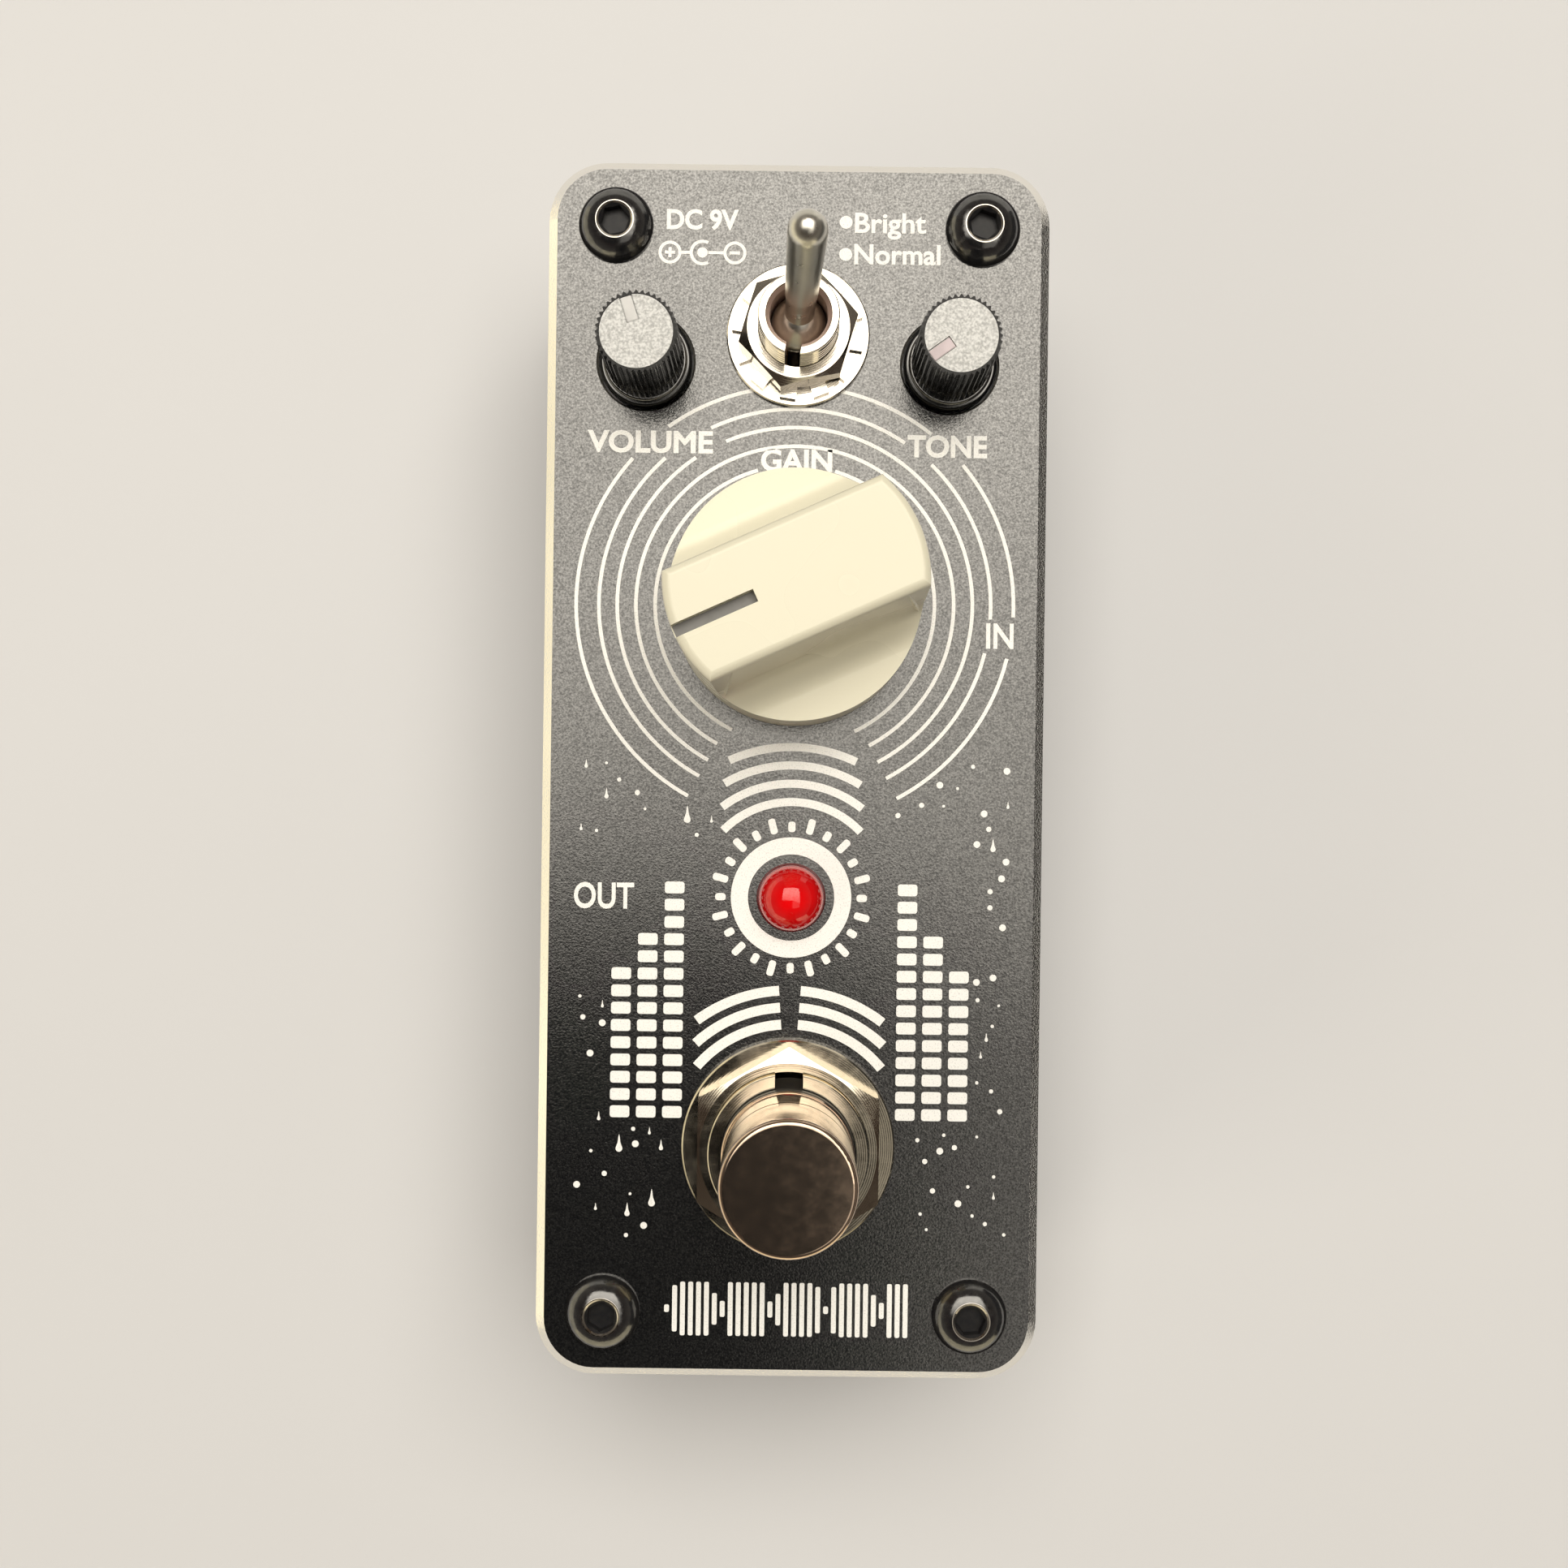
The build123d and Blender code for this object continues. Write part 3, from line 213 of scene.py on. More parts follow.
def anodised_panel():
    """Black anodised, bead-blasted plate whose edges were cut bright after anodising."""
    s = Shader("anodised_panel", (0.010, 0.010, 0.010), 0.28)
    grain = s.noise(0.15, 2.0, 0.6)
    cloud = s.noise(9.0, 3.0, 0.5)
    tilt = s.math("ABSOLUTE", s.math("SUBTRACT", s.normal_z(), 0.707))
    cut = s.math("LESS_THAN", tilt, 0.12)
    black = s.ramp(grain, (0.006, 0.006, 0.0065), (0.015, 0.015, 0.0145), 0.35, 0.68)
    s.link(s.mix(cut, black, (0.88, 0.86, 0.81, 1)), "Base Color")
    s.link(cut, "Metallic")
    satin = s.math("ADD", s.ramp(grain, 0.11, 0.16, 0.3, 0.7), s.ramp(cloud, -0.01, 0.01))
    s.link(s.blend(cut, satin, 0.06), "Roughness")
    s.link(s.ramp(grain, 0.35, 0.95, 0.3, 0.7), "Specular IOR Level")
    s.link(s.bump(grain, 0.010), "Normal")
    s.set(IOR=1.9)
    return s.mat


def powder_coat():
    s = Shader("powder_coat", (0.018, 0.018, 0.019), 0.45)
    peel = s.noise(0.45, 2.0, 0.5)
    s.link(s.ramp(s.noise(6.0), (0.014, 0.014, 0.015), (0.024, 0.024, 0.025)), "Base Color")
    s.link(s.ramp(peel, 0.38, 0.55, 0.3, 0.7), "Roughness")
    s.link(s.bump(peel, 0.02), "Normal")
    return s.mat


def plated(name, base, rough, centre=None):
    """Bright nickel plate with handling scratches, turned rings when a centre is given."""
    s = Shader(name, base, rough, 1.0)
    haze = s.noise(2.2, 4.0, 0.6)
    scratch = s.noise(0.12, 2.0, 0.6, s.stretched((0.12, 1.0, 0.4)))
    darker = tuple(c * 0.90 for c in base)
    s.link(s.ramp(s.noise(0.5, 2.0, 0.5), darker, base, 0.28, 0.5), "Base Color")
    s.link(s.math("ADD", s.ramp(haze, rough - 0.04, rough + 0.06, 0.3, 0.7),
                  s.ramp(scratch, 0.0, 0.04, 0.5, 0.8)), "Roughness")
    if centre is None:
        s.link(s.bump(scratch, 0.0006), "Normal")
        return s.mat
    turned = s.math("SINE", s.math("MULTIPLY", s.radius_from(centre), 2 * pi / (0.16 * MM)))
    s.link(s.bump(turned, 0.0004, s.bump(scratch, 0.0004)), "Normal")
    return s.mat


def satin_lever():
    """Tumbled nickel of the bat lever."""
    s = Shader("lever_nickel", (0.66, 0.64, 0.58), 0.3, 1.0)
    s.link(s.ramp(s.noise(2.5, 2.0), (0.62, 0.60, 0.54), (0.70, 0.68, 0.62), 0.3, 0.7), "Base Color")
    s.link(s.ramp(s.noise(1.2, 2.0), 0.27, 0.33, 0.3, 0.7), "Roughness")
    s.link(s.bump(s.noise(0.08, 2.0), 0.0002), "Normal")
    return s.mat


def bushing_nickel():
    """Bright threaded neck, pinkish and dull inside the bore."""
    s = Shader("bushing_nickel", NICKEL, 0.16, 1.0)
    reach = s.radius_from(TOGGLE)
    bore = s.math("LESS_THAN", reach, TOGGLE_BORE_R)
    flank = s.ramp(s.noise(0.8, 3.0), (0.66, 0.61, 0.53), NICKEL, 0.3, 0.6)
    s.link(s.mix(bore, flank, (0.74, 0.55, 0.47, 1)), "Base Color")
    s.link(s.blend(bore, 1.0, 0.55), "Metallic")
    s.link(s.blend(bore, s.ramp(s.noise(1.6, 3.0), 0.12, 0.22, 0.3, 0.7), 0.45), "Roughness")
    s.link(s.bump(s.noise(0.15, 2.0), 0.0005), "Normal")
    return s.mat


def stomp_button():
    """Plated button whose lower collar, inside the bushing, is coloured near-black as painted shade of
    the bushing.
    """
    s = Shader("stomp_button", WARM_NICKEL, 0.1, 1.0)
    # painted shade: below the bushing's top the collar is coloured near-black, dull and not metallic,
    # standing in for the shade inside the bushing
    painted_shade_below = s.math("LESS_THAN", s.height(), PANEL_TOP + STOMP_COLLAR_HIGH)
    scuffs = s.noise(1.1, 5.0, 0.65)
    scratch = s.noise(0.10, 2.0, 0.6, s.stretched((0.10, 1.0, 0.4)))
    worn = s.ramp(scuffs, (0.50, 0.39, 0.30), (0.66, 0.50, 0.38), 0.35, 0.62)
    s.link(s.mix(painted_shade_below, worn, (0.012, 0.011, 0.010, 1)), "Base Color")
    s.link(s.blend(painted_shade_below, s.ramp(scuffs, 0.955, 0.985, 0.3, 0.7), 0.0), "Metallic")
    s.link(s.blend(painted_shade_below, s.ramp(scuffs, 0.08, 0.14, 0.3, 0.7), 0.5), "Roughness")
    s.link(s.bump(scratch, 0.0006), "Normal")
    return s.mat


def steel(name, base=(0.42, 0.42, 0.43), rough=0.35):
    s = Shader(name, base, rough, 1.0)
    rolled = s.noise(0.25, 3.0, 0.6, s.stretched((0.08, 1.0, 1.0)))
    s.link(s.ramp(rolled, rough - 0.08, rough + 0.12, 0.3, 0.7), "Roughness")
    s.link(s.bump(rolled, 0.0015), "Normal")
    return s.mat


def black_oxide_screw():
    """Glossy black screws whose socket mouths were turned bright."""
    s = Shader("black_oxide", (0.010, 0.010, 0.011), 0.16)
    reach = screw_reach(s)
    near_top = s.math("GREATER_THAN", s.height(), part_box("panel_screws")[1].z - SOCKET_LIP_DEEP)
    beyond = s.math("GREATER_THAN", reach, SOCKET_R)
    worn = s.math("MULTIPLY", s.math("MULTIPLY", near_top, beyond),
                  s.math("LESS_THAN", reach, SOCKET_LIP_R))
    inside = s.math("LESS_THAN", reach, SOCKET_R)
    black = s.ramp(s.noise(0.5, 3.0), (0.008, 0.008, 0.009), (0.016, 0.015, 0.014), 0.35, 0.7)
    s.link(s.mix(worn, black, (0.48, 0.45, 0.41, 1)), "Base Color")
    s.link(worn, "Metallic")
    gloss = s.ramp(s.noise(0.3, 3.0), 0.10, 0.22, 0.3, 0.7)
    s.link(s.blend(inside, gloss, 0.34), "Roughness")
    s.link(s.blend(inside, 0.9, 0.14), "Specular IOR Level")
    s.link(s.bump(s.noise(0.3, 3.0), 0.002), "Normal")
    s.set(IOR=1.7)
    return s.mat


def folded(s):
    """Coordinates with both signs dropped, for things that stand in mirror places."""
    made = s.node("VectorMath", Vector=s.coords)
    made.operation = "ABSOLUTE"
    return made.outputs[0]


def screw_reach(s):
    """Distance from the axis of the nearest screw."""
    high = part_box("panel_screws")[1]
    return s.radius_from((high.x - SCREW_HEAD_R, high.y - SCREW_HEAD_R), folded(s))


def ivory():
    """Aged ivory knob plastic: glossy, smooth and very faintly uneven."""
    s = Shader("ivory_plastic", (0.76, 0.71, 0.52), 0.24)
    tone = s.ramp(s.noise(14.0, 1.0), (0.760, 0.715, 0.540), (0.768, 0.722, 0.548), 0.2, 0.8)
    s.link(tone, "Base Color")
    s.link(s.ramp(s.noise(9.0, 1.0), 0.265, 0.28, 0.2, 0.8), "Roughness")
    s.link(s.bump(s.noise(6.0, 0.0), 0.002), "Normal")
    return s.mat


def moulded(name, base, rough=0.45, grain_mm=0.3, coat=0.0, grain_deep=0.004):
    """Moulded plastic with a fine tool texture."""
    s = Shader(name, base, rough)
    grain = s.noise(grain_mm, 3.0, 0.55)
    darker = tuple(c * 0.8 for c in base)
    brighter = tuple(min(1.0, c * 1.2) for c in base)
    s.link(s.ramp(s.noise(3.0, 3.0), darker, brighter, 0.3, 0.7), "Base Color")
    s.link(s.ramp(grain, max(0.05, rough - 0.08), rough + 0.1, 0.3, 0.7), "Roughness")
    s.link(s.bump(grain, grain_deep), "Normal")
    s.set(Coat_Weight=coat, Coat_Roughness=0.1)
    return s.mat


def glossy_black():
    """Polished black moulding of the small knobs."""
    s = Shader("knob_black", (0.004, 0.004, 0.0042), 0.14)
    tone = s.ramp(s.noise(3.0, 3.0), (0.003, 0.003, 0.0032), (0.007, 0.007, 0.0068), 0.3, 0.7)
    s.link(tone, "Base Color")
    s.link(s.ramp(s.noise(0.8, 3.0), 0.10, 0.18, 0.3, 0.7), "Roughness")
    s.link(s.bump(s.noise(0.2, 2.0), 0.0004), "Normal")
    flange = s.math("GREATER_THAN", s.radius_from(axis_of("tone_knob"), folded(s)),
                    KNOB_FLANGE_FROM)
    ledge = s.math("GREATER_THAN", s.height(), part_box("tone_knob")[1].z - 0.03 * MM)
    dull = s.math("MAXIMUM", flange, ledge)
    s.link(s.blend(dull, 0.95, 0.12), "Specular IOR Level")
    s.set(IOR=1.75)
    return s.mat


def sparkle_cap():
    """Pale grey moulded knob cap with a coarse sparkle texture."""
    s = Shader("sparkle_cap", (0.36, 0.35, 0.32), 0.5)
    flake = s.noise(0.20, 2.0, 0.6)
    s.link(s.ramp(flake, (0.40, 0.395, 0.37), (0.68, 0.67, 0.63), 0.36, 0.62), "Base Color")
    s.link(s.ramp(flake, 0.55, 0.35, 0.35, 0.7), "Roughness")
    s.link(s.bump(flake, 0.014), "Normal")
    return s.mat


def lamp_lens():
    """Deep red epoxy lamp with a lit heart."""
    s = Shader("lamp_lens", (0.50, 0.002, 0.003), 0.08)
    rim = s.ramp(s.radius_from(LAMP), 1.0, 0.10, 0.4 * MM, 2.3 * MM)
    s.link(s.ramp(s.noise(1.5, 2.0), (0.44, 0.001, 0.002), (0.56, 0.003, 0.004), 0.3, 0.7), "Base Color")
    s.link(s.math("MULTIPLY", rim, 0.35), "Emission Strength")
    s.link(s.ramp(s.noise(0.8, 2.0), 0.04, 0.10), "Roughness")
    s.set(Emission_Color=(1.0, 0.004, 0.005, 1), Coat_Weight=0.35, Coat_Roughness=0.03)
    return s.mat


def printed_ink():
    """Warm white screen print, slightly speckled."""
    s = Shader("printed_ink", (0.80, 0.78, 0.72), 0.4)
    speck = s.noise(0.11, 2.0, 0.6)
    s.link(s.ramp(speck, (0.68, 0.665, 0.61), (0.95, 0.93, 0.86), 0.30, 0.46), "Base Color")
    s.link(s.ramp(speck, 0.35, 0.55), "Roughness")
    s.link(s.bump(speck, 0.005), "Normal")
    return s.mat


def circuit_board(name, mask, copper):
    """Solder-masked board with routed tracks just visible under the mask."""
    s = Shader(name, mask, 0.35)
    lanes = s.node("TexWave", Vector=s.coords, Scale=120.0, Distortion=6.0, Detail=0.0)
    tracks = s.ramp(lanes.outputs["Fac"], 0.0, 1.0, 0.62, 0.70)
    s.link(s.mix(tracks, (*mask, 1), (*copper, 1)), "Base Color")
    s.link(s.ramp(s.noise(1.0), 0.28, 0.45), "Roughness")
    s.link(s.bump(tracks, 0.02), "Normal")
    s.set(Coat_Weight=0.4, Coat_Roughness=0.15)
    return s.mat


def rubber_pad():
    s = Shader("rubber_pad", (0.016, 0.016, 0.016), 0.85)
    weave = s.cells(0.7)
    s.link(s.ramp(s.noise(5.0), (0.012, 0.012, 0.012), (0.024, 0.024, 0.024)), "Base Color")
    s.link(s.ramp(weave, 0.75, 0.95), "Roughness")
    s.link(s.bump(weave, 0.08), "Normal")
    return s.mat


def ribbon():
    """Flat cable: conductors side by side under grey insulation."""
    s = Shader("ribbon_cable", (0.36, 0.36, 0.35), 0.5)
    across = s.node("SeparateXYZ", Vector=s.coords).outputs["X"]
    cores = s.math("ABSOLUTE", s.math("SINE", s.math("MULTIPLY", across, pi / RIBBON_PITCH)))
    s.link(s.ramp(cores, (0.18, 0.18, 0.18), (0.42, 0.42, 0.41), 0.0, 0.5), "Base Color")
    s.link(s.bump(cores, 0.3), "Normal")
    return s.mat


def banded(name, base, band, pitch_mm):
    """Component body with colour bands across its length."""
    s = Shader(name, base, 0.35)
    along = s.node("SeparateXYZ", Vector=s.coords).outputs["X"]
    wave = s.math("SINE", s.math("MULTIPLY", along, 2 * pi / (pitch_mm * MM)))
    s.link(s.ramp(wave, base, band, 0.55, 0.7), "Base Color")
    s.link(s.ramp(s.noise(0.6), 0.28, 0.45), "Roughness")
    s.set(Coat_Weight=0.5, Coat_Roughness=0.1)
    return s.mat


def dress_all():
    """Every CAD node gets its finish."""
    dress(anodised_panel(), "top_panel")
    dress(powder_coat(), "enclosure_body")
    dress(rubber_pad(), "base_pad")
    dress(black_oxide_screw(), "panel_screws")
    dress(stomp_button(), "footswitch_plunger")
    dress(plated("stomp_ring_nickel", WARM_NICKEL, 0.13, STOMP), "footswitch_washer",
          "footswitch_nut", "footswitch_lower_nut", "footswitch_bushing")
    dress(satin_lever(), "toggle_lever")
    dress(plated("toggle_ring_nickel", NICKEL, 0.14, TOGGLE), "toggle_washer",
          "toggle_lock_washer", "toggle_nut")
    dress(bushing_nickel(), "toggle_bushing")
    dress(plated("control_nickel", NICKEL, 0.2, GAIN), "gain_pot_bushing", "gain_pot_nut",
          "gain_pot_shaft")
    dress(ivory(), "gain_knob")
    dress(glossy_black(), "volume_knob", "tone_knob")
    dress(sparkle_cap(), "volume_knob_cap", "tone_knob_cap")
    dress(lamp_lens(), "led_lens")
    dress(moulded("jack_black", (0.014, 0.014, 0.015), 0.42), "input_jack_housing",
          "output_jack_housing", "dc_jack_housing", "led_spacer", "op_amp")
    dress(moulded("switch_blue", (0.02, 0.10, 0.36), 0.4), "footswitch_housing")
    dress(moulded("switch_red", (0.30, 0.03, 0.02), 0.5), "toggle_case")
    dress(moulded("switch_white", (0.72, 0.72, 0.70), 0.4), "footswitch_actuator",
          "volume_pot_shaft", "tone_pot_shaft")
    dress(moulded("phenolic", (0.22, 0.11, 0.04), 0.5, 0.8), "footswitch_base")
    dress(moulded("film_red", (0.42, 0.04, 0.025), 0.3, 0.5, 0.5), "film_capacitors")
    dress(banded("can_sleeve", (0.015, 0.02, 0.05), (0.5, 0.5, 0.5), 20.0), "electrolytic_capacitors")
    dress(banded("resistor_body", (0.10, 0.26, 0.36), (0.35, 0.08, 0.02), 1.6), "resistors")
    dress(banded("diode_body", (0.50, 0.18, 0.06), (0.02, 0.02, 0.02), 9.0), "diodes")
    dress(circuit_board("board_green", (0.012, 0.11, 0.045), (0.03, 0.21, 0.08)), "main_board",
          "footswitch_board")
    dress(ribbon(), "ribbon_cable")
    dress(plated("contact_brass", (0.72, 0.50, 0.20), 0.25), "footswitch_lugs", "toggle_rocker",
          "input_jack_contacts", "output_jack_contacts", "dc_jack_contacts")
    dress(plated("pin_nickel", NICKEL, 0.15), "dc_jack_pin")
    dress(steel("tinned_lead", (0.60, 0.60, 0.58), 0.3), "toggle_lugs", "led_leads",
          "component_leads", "gain_pot_lugs", "volume_pot_lugs", "tone_pot_lugs")
    dress(steel("pressed_steel"), "footswitch_frame", "toggle_frame", "gain_pot_body",
          "volume_pot_body", "tone_pot_body")
    dress(steel("spring_wire", (0.32, 0.32, 0.33), 0.28), "footswitch_spring")


# ---------------------------------------------------------------- printed graphics
ARC_STEP = 2.5  # degrees between the corners of a printed arc
TOUCHING = 1e-5  # lettering points nearer than this, in font units, are one point
SHORT_EDGE = 0.0045  # lettering edges up to this long would turn over when moved
SHARPEST_MITRE, LONGEST_MITRE = 0.12, 4.5


class Print:
    """Ink on the panel: closed thin shapes gathered into one mesh."""

    def __init__(self, name):
        self.name = name
        self.mesh = bmesh.new()

    def prism(self, outline):
        """Thin plate over a closed outline, counter-clockwise, in plan."""
        low = [self.mesh.verts.new((x, y, PANEL_TOP)) for x, y in outline]
        high = [self.mesh.verts.new((x, y, PANEL_TOP + INK)) for x, y in outline]
        self.mesh.faces.new(list(reversed(low)))
        self.mesh.faces.new(high)
        for i in range(len(low)):
            j = (i + 1) % len(low)
            self.mesh.faces.new((low[i], low[j], high[j], high[i]))

    def band(self, centre, radius, width, start=0.0, end=360.0):
        """Arc or whole ring of ink, with its line on the radius."""
        whole = abs(end - start) >= 360
        count = max(6, int(abs(end - start) / ARC_STEP))
        inner, outer = radius - width / 2, radius + width / 2
        rows = []
        for i in range(count if whole else count + 1):
            turn = radians(start + (end - start) * i / count)
            c, s = cos(turn), sin(turn)
            rows.append([self.mesh.verts.new((centre[0] + r * c, centre[1] + r * s, z))
                         for r, z in ((inner, PANEL_TOP), (outer, PANEL_TOP),
                                      (outer, PANEL_TOP + INK), (inner, PANEL_TOP + INK))])
        pairs = list(zip(rows, rows[1:] + rows[:1])) if whole else list(zip(rows, rows[1:]))
        for a, b in pairs:
            for i in range(4):
                j = (i + 1) % 4
                self.mesh.faces.new((a[i], a[j], b[j], b[i]))
        if not whole:
            self.mesh.faces.new(list(reversed(rows[0])))
            self.mesh.faces.new(rows[-1])

    def dot(self, x, y, radius, tail=0.0):
        """Round dot, or a drop when it has a tail."""
        outline = []
        for i in range(20):
            turn = 2 * pi * i / 20
            reach = tail * max(0.0, sin(turn)) ** 6
            outline.append((x + radius * cos(turn) * (1 - 0.3 * min(1, reach / (radius + 1e-9))),
                            y + radius * sin(turn) + reach))
        self.prism(outline)

    def bar(self, x, y, wide, high, turn=0.0, corner=0.2 * MM):
        """Rounded bar centred on x, y."""
        corner = min(corner, wide / 2.01, high / 2.01)
        outline = []
        for cx, cy, start in ((1, 1, 0), (-1, 1, 90), (-1, -1, 180), (1, -1, 270)):
            for step in range(4):
                a = radians(start + 30 * step)
                px = cx * (wide / 2 - corner) + corner * cos(a)
                py = cy * (high / 2 - corner) + corner * sin(a)
                outline.append((x + px * cos(turn) - py * sin(turn), y + px * sin(turn) + py * cos(turn)))
        self.prism(outline)

    def finish(self, material):
        bmesh.ops.recalc_face_normals(self.mesh, faces=self.mesh.faces)
        data = bpy.data.meshes.new(self.name)
        self.mesh.to_mesh(data)
        self.mesh.free()
        return place(self.name, data, material, PEDAL)


def place(name, data, material, body):
    """Links a finished mesh, gives it its material and lets it ride on a body."""
    data.materials.clear()
    data.materials.append(material)
    made = bpy.data.objects.new(name, data)
    bpy.context.scene.collection.objects.link(made)
    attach(made, body)
    return made


def evaluated(name, data):
    """Mesh of a curve or text datablock, which is used up."""
    holder = bpy.data.objects.new(name, data)
    bpy.context.scene.collection.objects.link(holder)
    bpy.context.view_layer.update()
    mesh = bpy.data.meshes.new_from_object(holder.evaluated_get(bpy.context.evaluated_depsgraph_get()))
    bpy.data.objects.remove(holder)
    bpy.data.curves.remove(data)
    return mesh


def outlines(text):
    """Closed outlines of lettering in the built-in font, one list of points each."""
    curve = bpy.data.curves.new("lettering", "FONT")
    curve.body = text
    curve.size = 1.0
    curve.fill_mode = "NONE"
    curve.resolution_u = 4
    mesh = evaluated("lettering", curve)
    has_next = {edge.vertices[0] for edge in mesh.edges if edge.vertices[1] - edge.vertices[0] == 1}
    points = [v.co.xy.copy() for v in mesh.vertices]
    bpy.data.meshes.remove(mesh)
    loops, loop = [], []
    for i, point in enumerate(points):
        if not loop or (point - loop[-1]).length > TOUCHING:
            loop.append(point)
        if i not in has_next:
            if (loop[0] - loop[-1]).length < TOUCHING:
                loop.pop()
            loops.append(loop)
            loop = []
    return loops


def area_of(loop):
    return sum(a.x * b.y - b.x * a.y for a, b in zip(loop, loop[1:] + loop[:1])) / 2


def thickened(loops, bold):
    """The outlines moved outwards from the ink by a distance, with mitred corners.

    Very short edges are dropped first, as they would turn over.
    """
    outer_sign = 1 if area_of(max(loops, key=lambda loop: abs(area_of(loop)))) > 0 else -1
    moved = []
    for loop in loops:
        loop = [b for a, b in zip(loop[-1:] + loop[:-1], loop) if (b - a).length > SHORT_EDGE]
        fresh = []
        for before, point, after in zip(loop[-1:] + loop[:-1], loop, loop[1:] + loop[:1]):
            coming, going = (point - before).normalized(), (after - point).normalized()
            left = Vector((coming.y, -coming.x)) * outer_sign
            right = Vector((going.y, -going.x)) * outer_sign
            both = left + right
            move = min(bold / max(both.dot(left), SHARPEST_MITRE), LONGEST_MITRE * bold)
            fresh.append(point + both * move)
        moved.append(fresh)
    return moved


def text_mesh(text, bold):
    """Closed flat lettering, one unit high."""
    curve = bpy.data.curves.new("lettering", "CURVE")
    curve.dimensions = "2D"
    curve.fill_mode = "BOTH"
    curve.extrude = 0.5
    for loop in thickened(outlines(text), bold):
        spline = curve.splines.new("POLY")
        spline.points.add(len(loop) - 1)
        for target, point in zip(spline.points, loop):
            target.co = (point.x, point.y, 0, 1)
        spline.use_cyclic_u = True
    data = evaluated("lettering", curve)
    cleaned = bmesh.new()
    cleaned.from_mesh(data)
    bmesh.ops.remove_doubles(cleaned, verts=cleaned.verts, dist=TOUCHING)
    bmesh.ops.recalc_face_normals(cleaned, faces=cleaned.faces)
    cleaned.to_mesh(data)
    cleaned.free()
    return data


def span(data, axis):
    values = [v.co[axis] for v in data.vertices]
    return min(values), max(values)


def label(name, text, x, y, wide, cap_high, material, bold=0.031):
    """Lettering whose box is centred on x, and whose capitals stand cap_high above y."""
    data = text_mesh(text, bold)
    capital = text_mesh("H", bold)
    low_x, high_x = span(data, 0)
    base, top = span(capital, 1)
    bpy.data.meshes.remove(capital)
    fit = Matrix.Translation((x, y, PANEL_TOP + INK / 2))
    fit = fit @ Matrix.Diagonal((wide / (high_x - low_x), cap_high / (top - base), INK, 1))
    fit = fit @ Matrix.Translation((-(low_x + high_x) / 2, -base, 0))
    data.transform(fit)
    return place(name, data, material, PEDAL)


def gaps_to_arcs(start, end, gaps):
    """The stretches of start..end, in degrees, left between the gaps."""
    edge = start
    for low, high in sorted(gaps):
        yield edge, low
        edge = high
    yield edge, end


RING_LINE = 0.28 * MM
RING_START, RING_END = -61.5, 241.5
GAIN_RINGS = (
    (10.67, -64.0, 244.0, ((74.0, 106.0),)),
    (12.14, RING_START, RING_END, ()),
    (13.57, RING_START, RING_END, ((113.5, 124.5),)),
    (14.97, RING_START, RING_END, ((-13.5, -3.5), (46.5, 56.5), (116.0, 132.0))),
    (16.71, RING_START, RING_END, ((-13.5, -2.5), (40.5, 52.0), (126.0, 138.5))),
)


def print_rings(ink):
    rings = Print("print_gain_rings")
    for radius, start, end, gaps in GAIN_RINGS:
        for low, high in gaps_to_arcs(start, end, gaps):
            rings.band(GAIN, radius * MM, RING_LINE, low, high)
    return rings.finish(ink)


def print_polarity(ink):
    """Centre-negative power sign."""
    sign = Print("print_polarity")
    x, y = -7.4 * MM, 39.5 * MM
    step, ring = 2.48 * MM, 0.76 * MM
    line = 0.24 * MM
    for side in (-1, 1):
        sign.band((x + side * step, y), ring, line)
        sign.bar(x + side * step, y, 0.78 * MM, line, corner=0.02 * MM)
        inner = 0.44 * MM if side > 0 else 0.98 * MM
        outer = step - ring - line / 2
        sign.bar(x + side * (inner + outer) / 2, y, outer - inner, line, corner=0.02 * MM)
    for side in (-1, 1):
        sign.bar(x - step, y + side * 0.255 * MM, line, 0.27 * MM, corner=0.02 * MM)
    sign.dot(x, y, 0.40 * MM)
    sign.band((x, y), 0.86 * MM, line, 60, 300)
    return sign.finish(ink)


def print_labels(ink):
    cap = 1.55 * MM
    label("print_power_label", "DC 9V", -7.4 * MM, 41.25 * MM, 5.5 * MM, cap, ink)
    label("print_bright_label", "Bright", 6.95 * MM, 41.15 * MM, 5.45 * MM, cap, ink, 0.022)
    label("print_normal_label", "Normal", 7.5 * MM, 38.75 * MM, 6.6 * MM, cap, ink, 0.024)
    label("print_volume_label", "VOLUME", -11.2 * MM, 24.15 * MM, 9.6 * MM, 1.7 * MM, ink)
    label("print_tone_label", "TONE", 11.5 * MM, 24.05 * MM, 6.1 * MM, 1.7 * MM, ink)
    label("print_gain_label", "GAIN", 0.0, 22.85 * MM, 5.45 * MM, 1.7 * MM, ink)
    label("print_in_label", "IN", 15.7 * MM, 9.5 * MM, 2.1 * MM, 1.95 * MM, ink, 0.02)
    label("print_out_label", "OUT", -14.3 * MM, -10.7 * MM, 4.6 * MM, 1.98 * MM, ink, 0.02)
    dots = Print("print_position_dots")
    for y in (41.95, 39.5):
        dots.dot(3.55 * MM, y * MM, 0.5 * MM)
    dots.finish(ink)


METER_X = (8.9, 10.9, 12.9)
METER_SEGMENTS = (14, 11, 9)
METER_FOOT = -26.2
METER_PITCH = 1.32


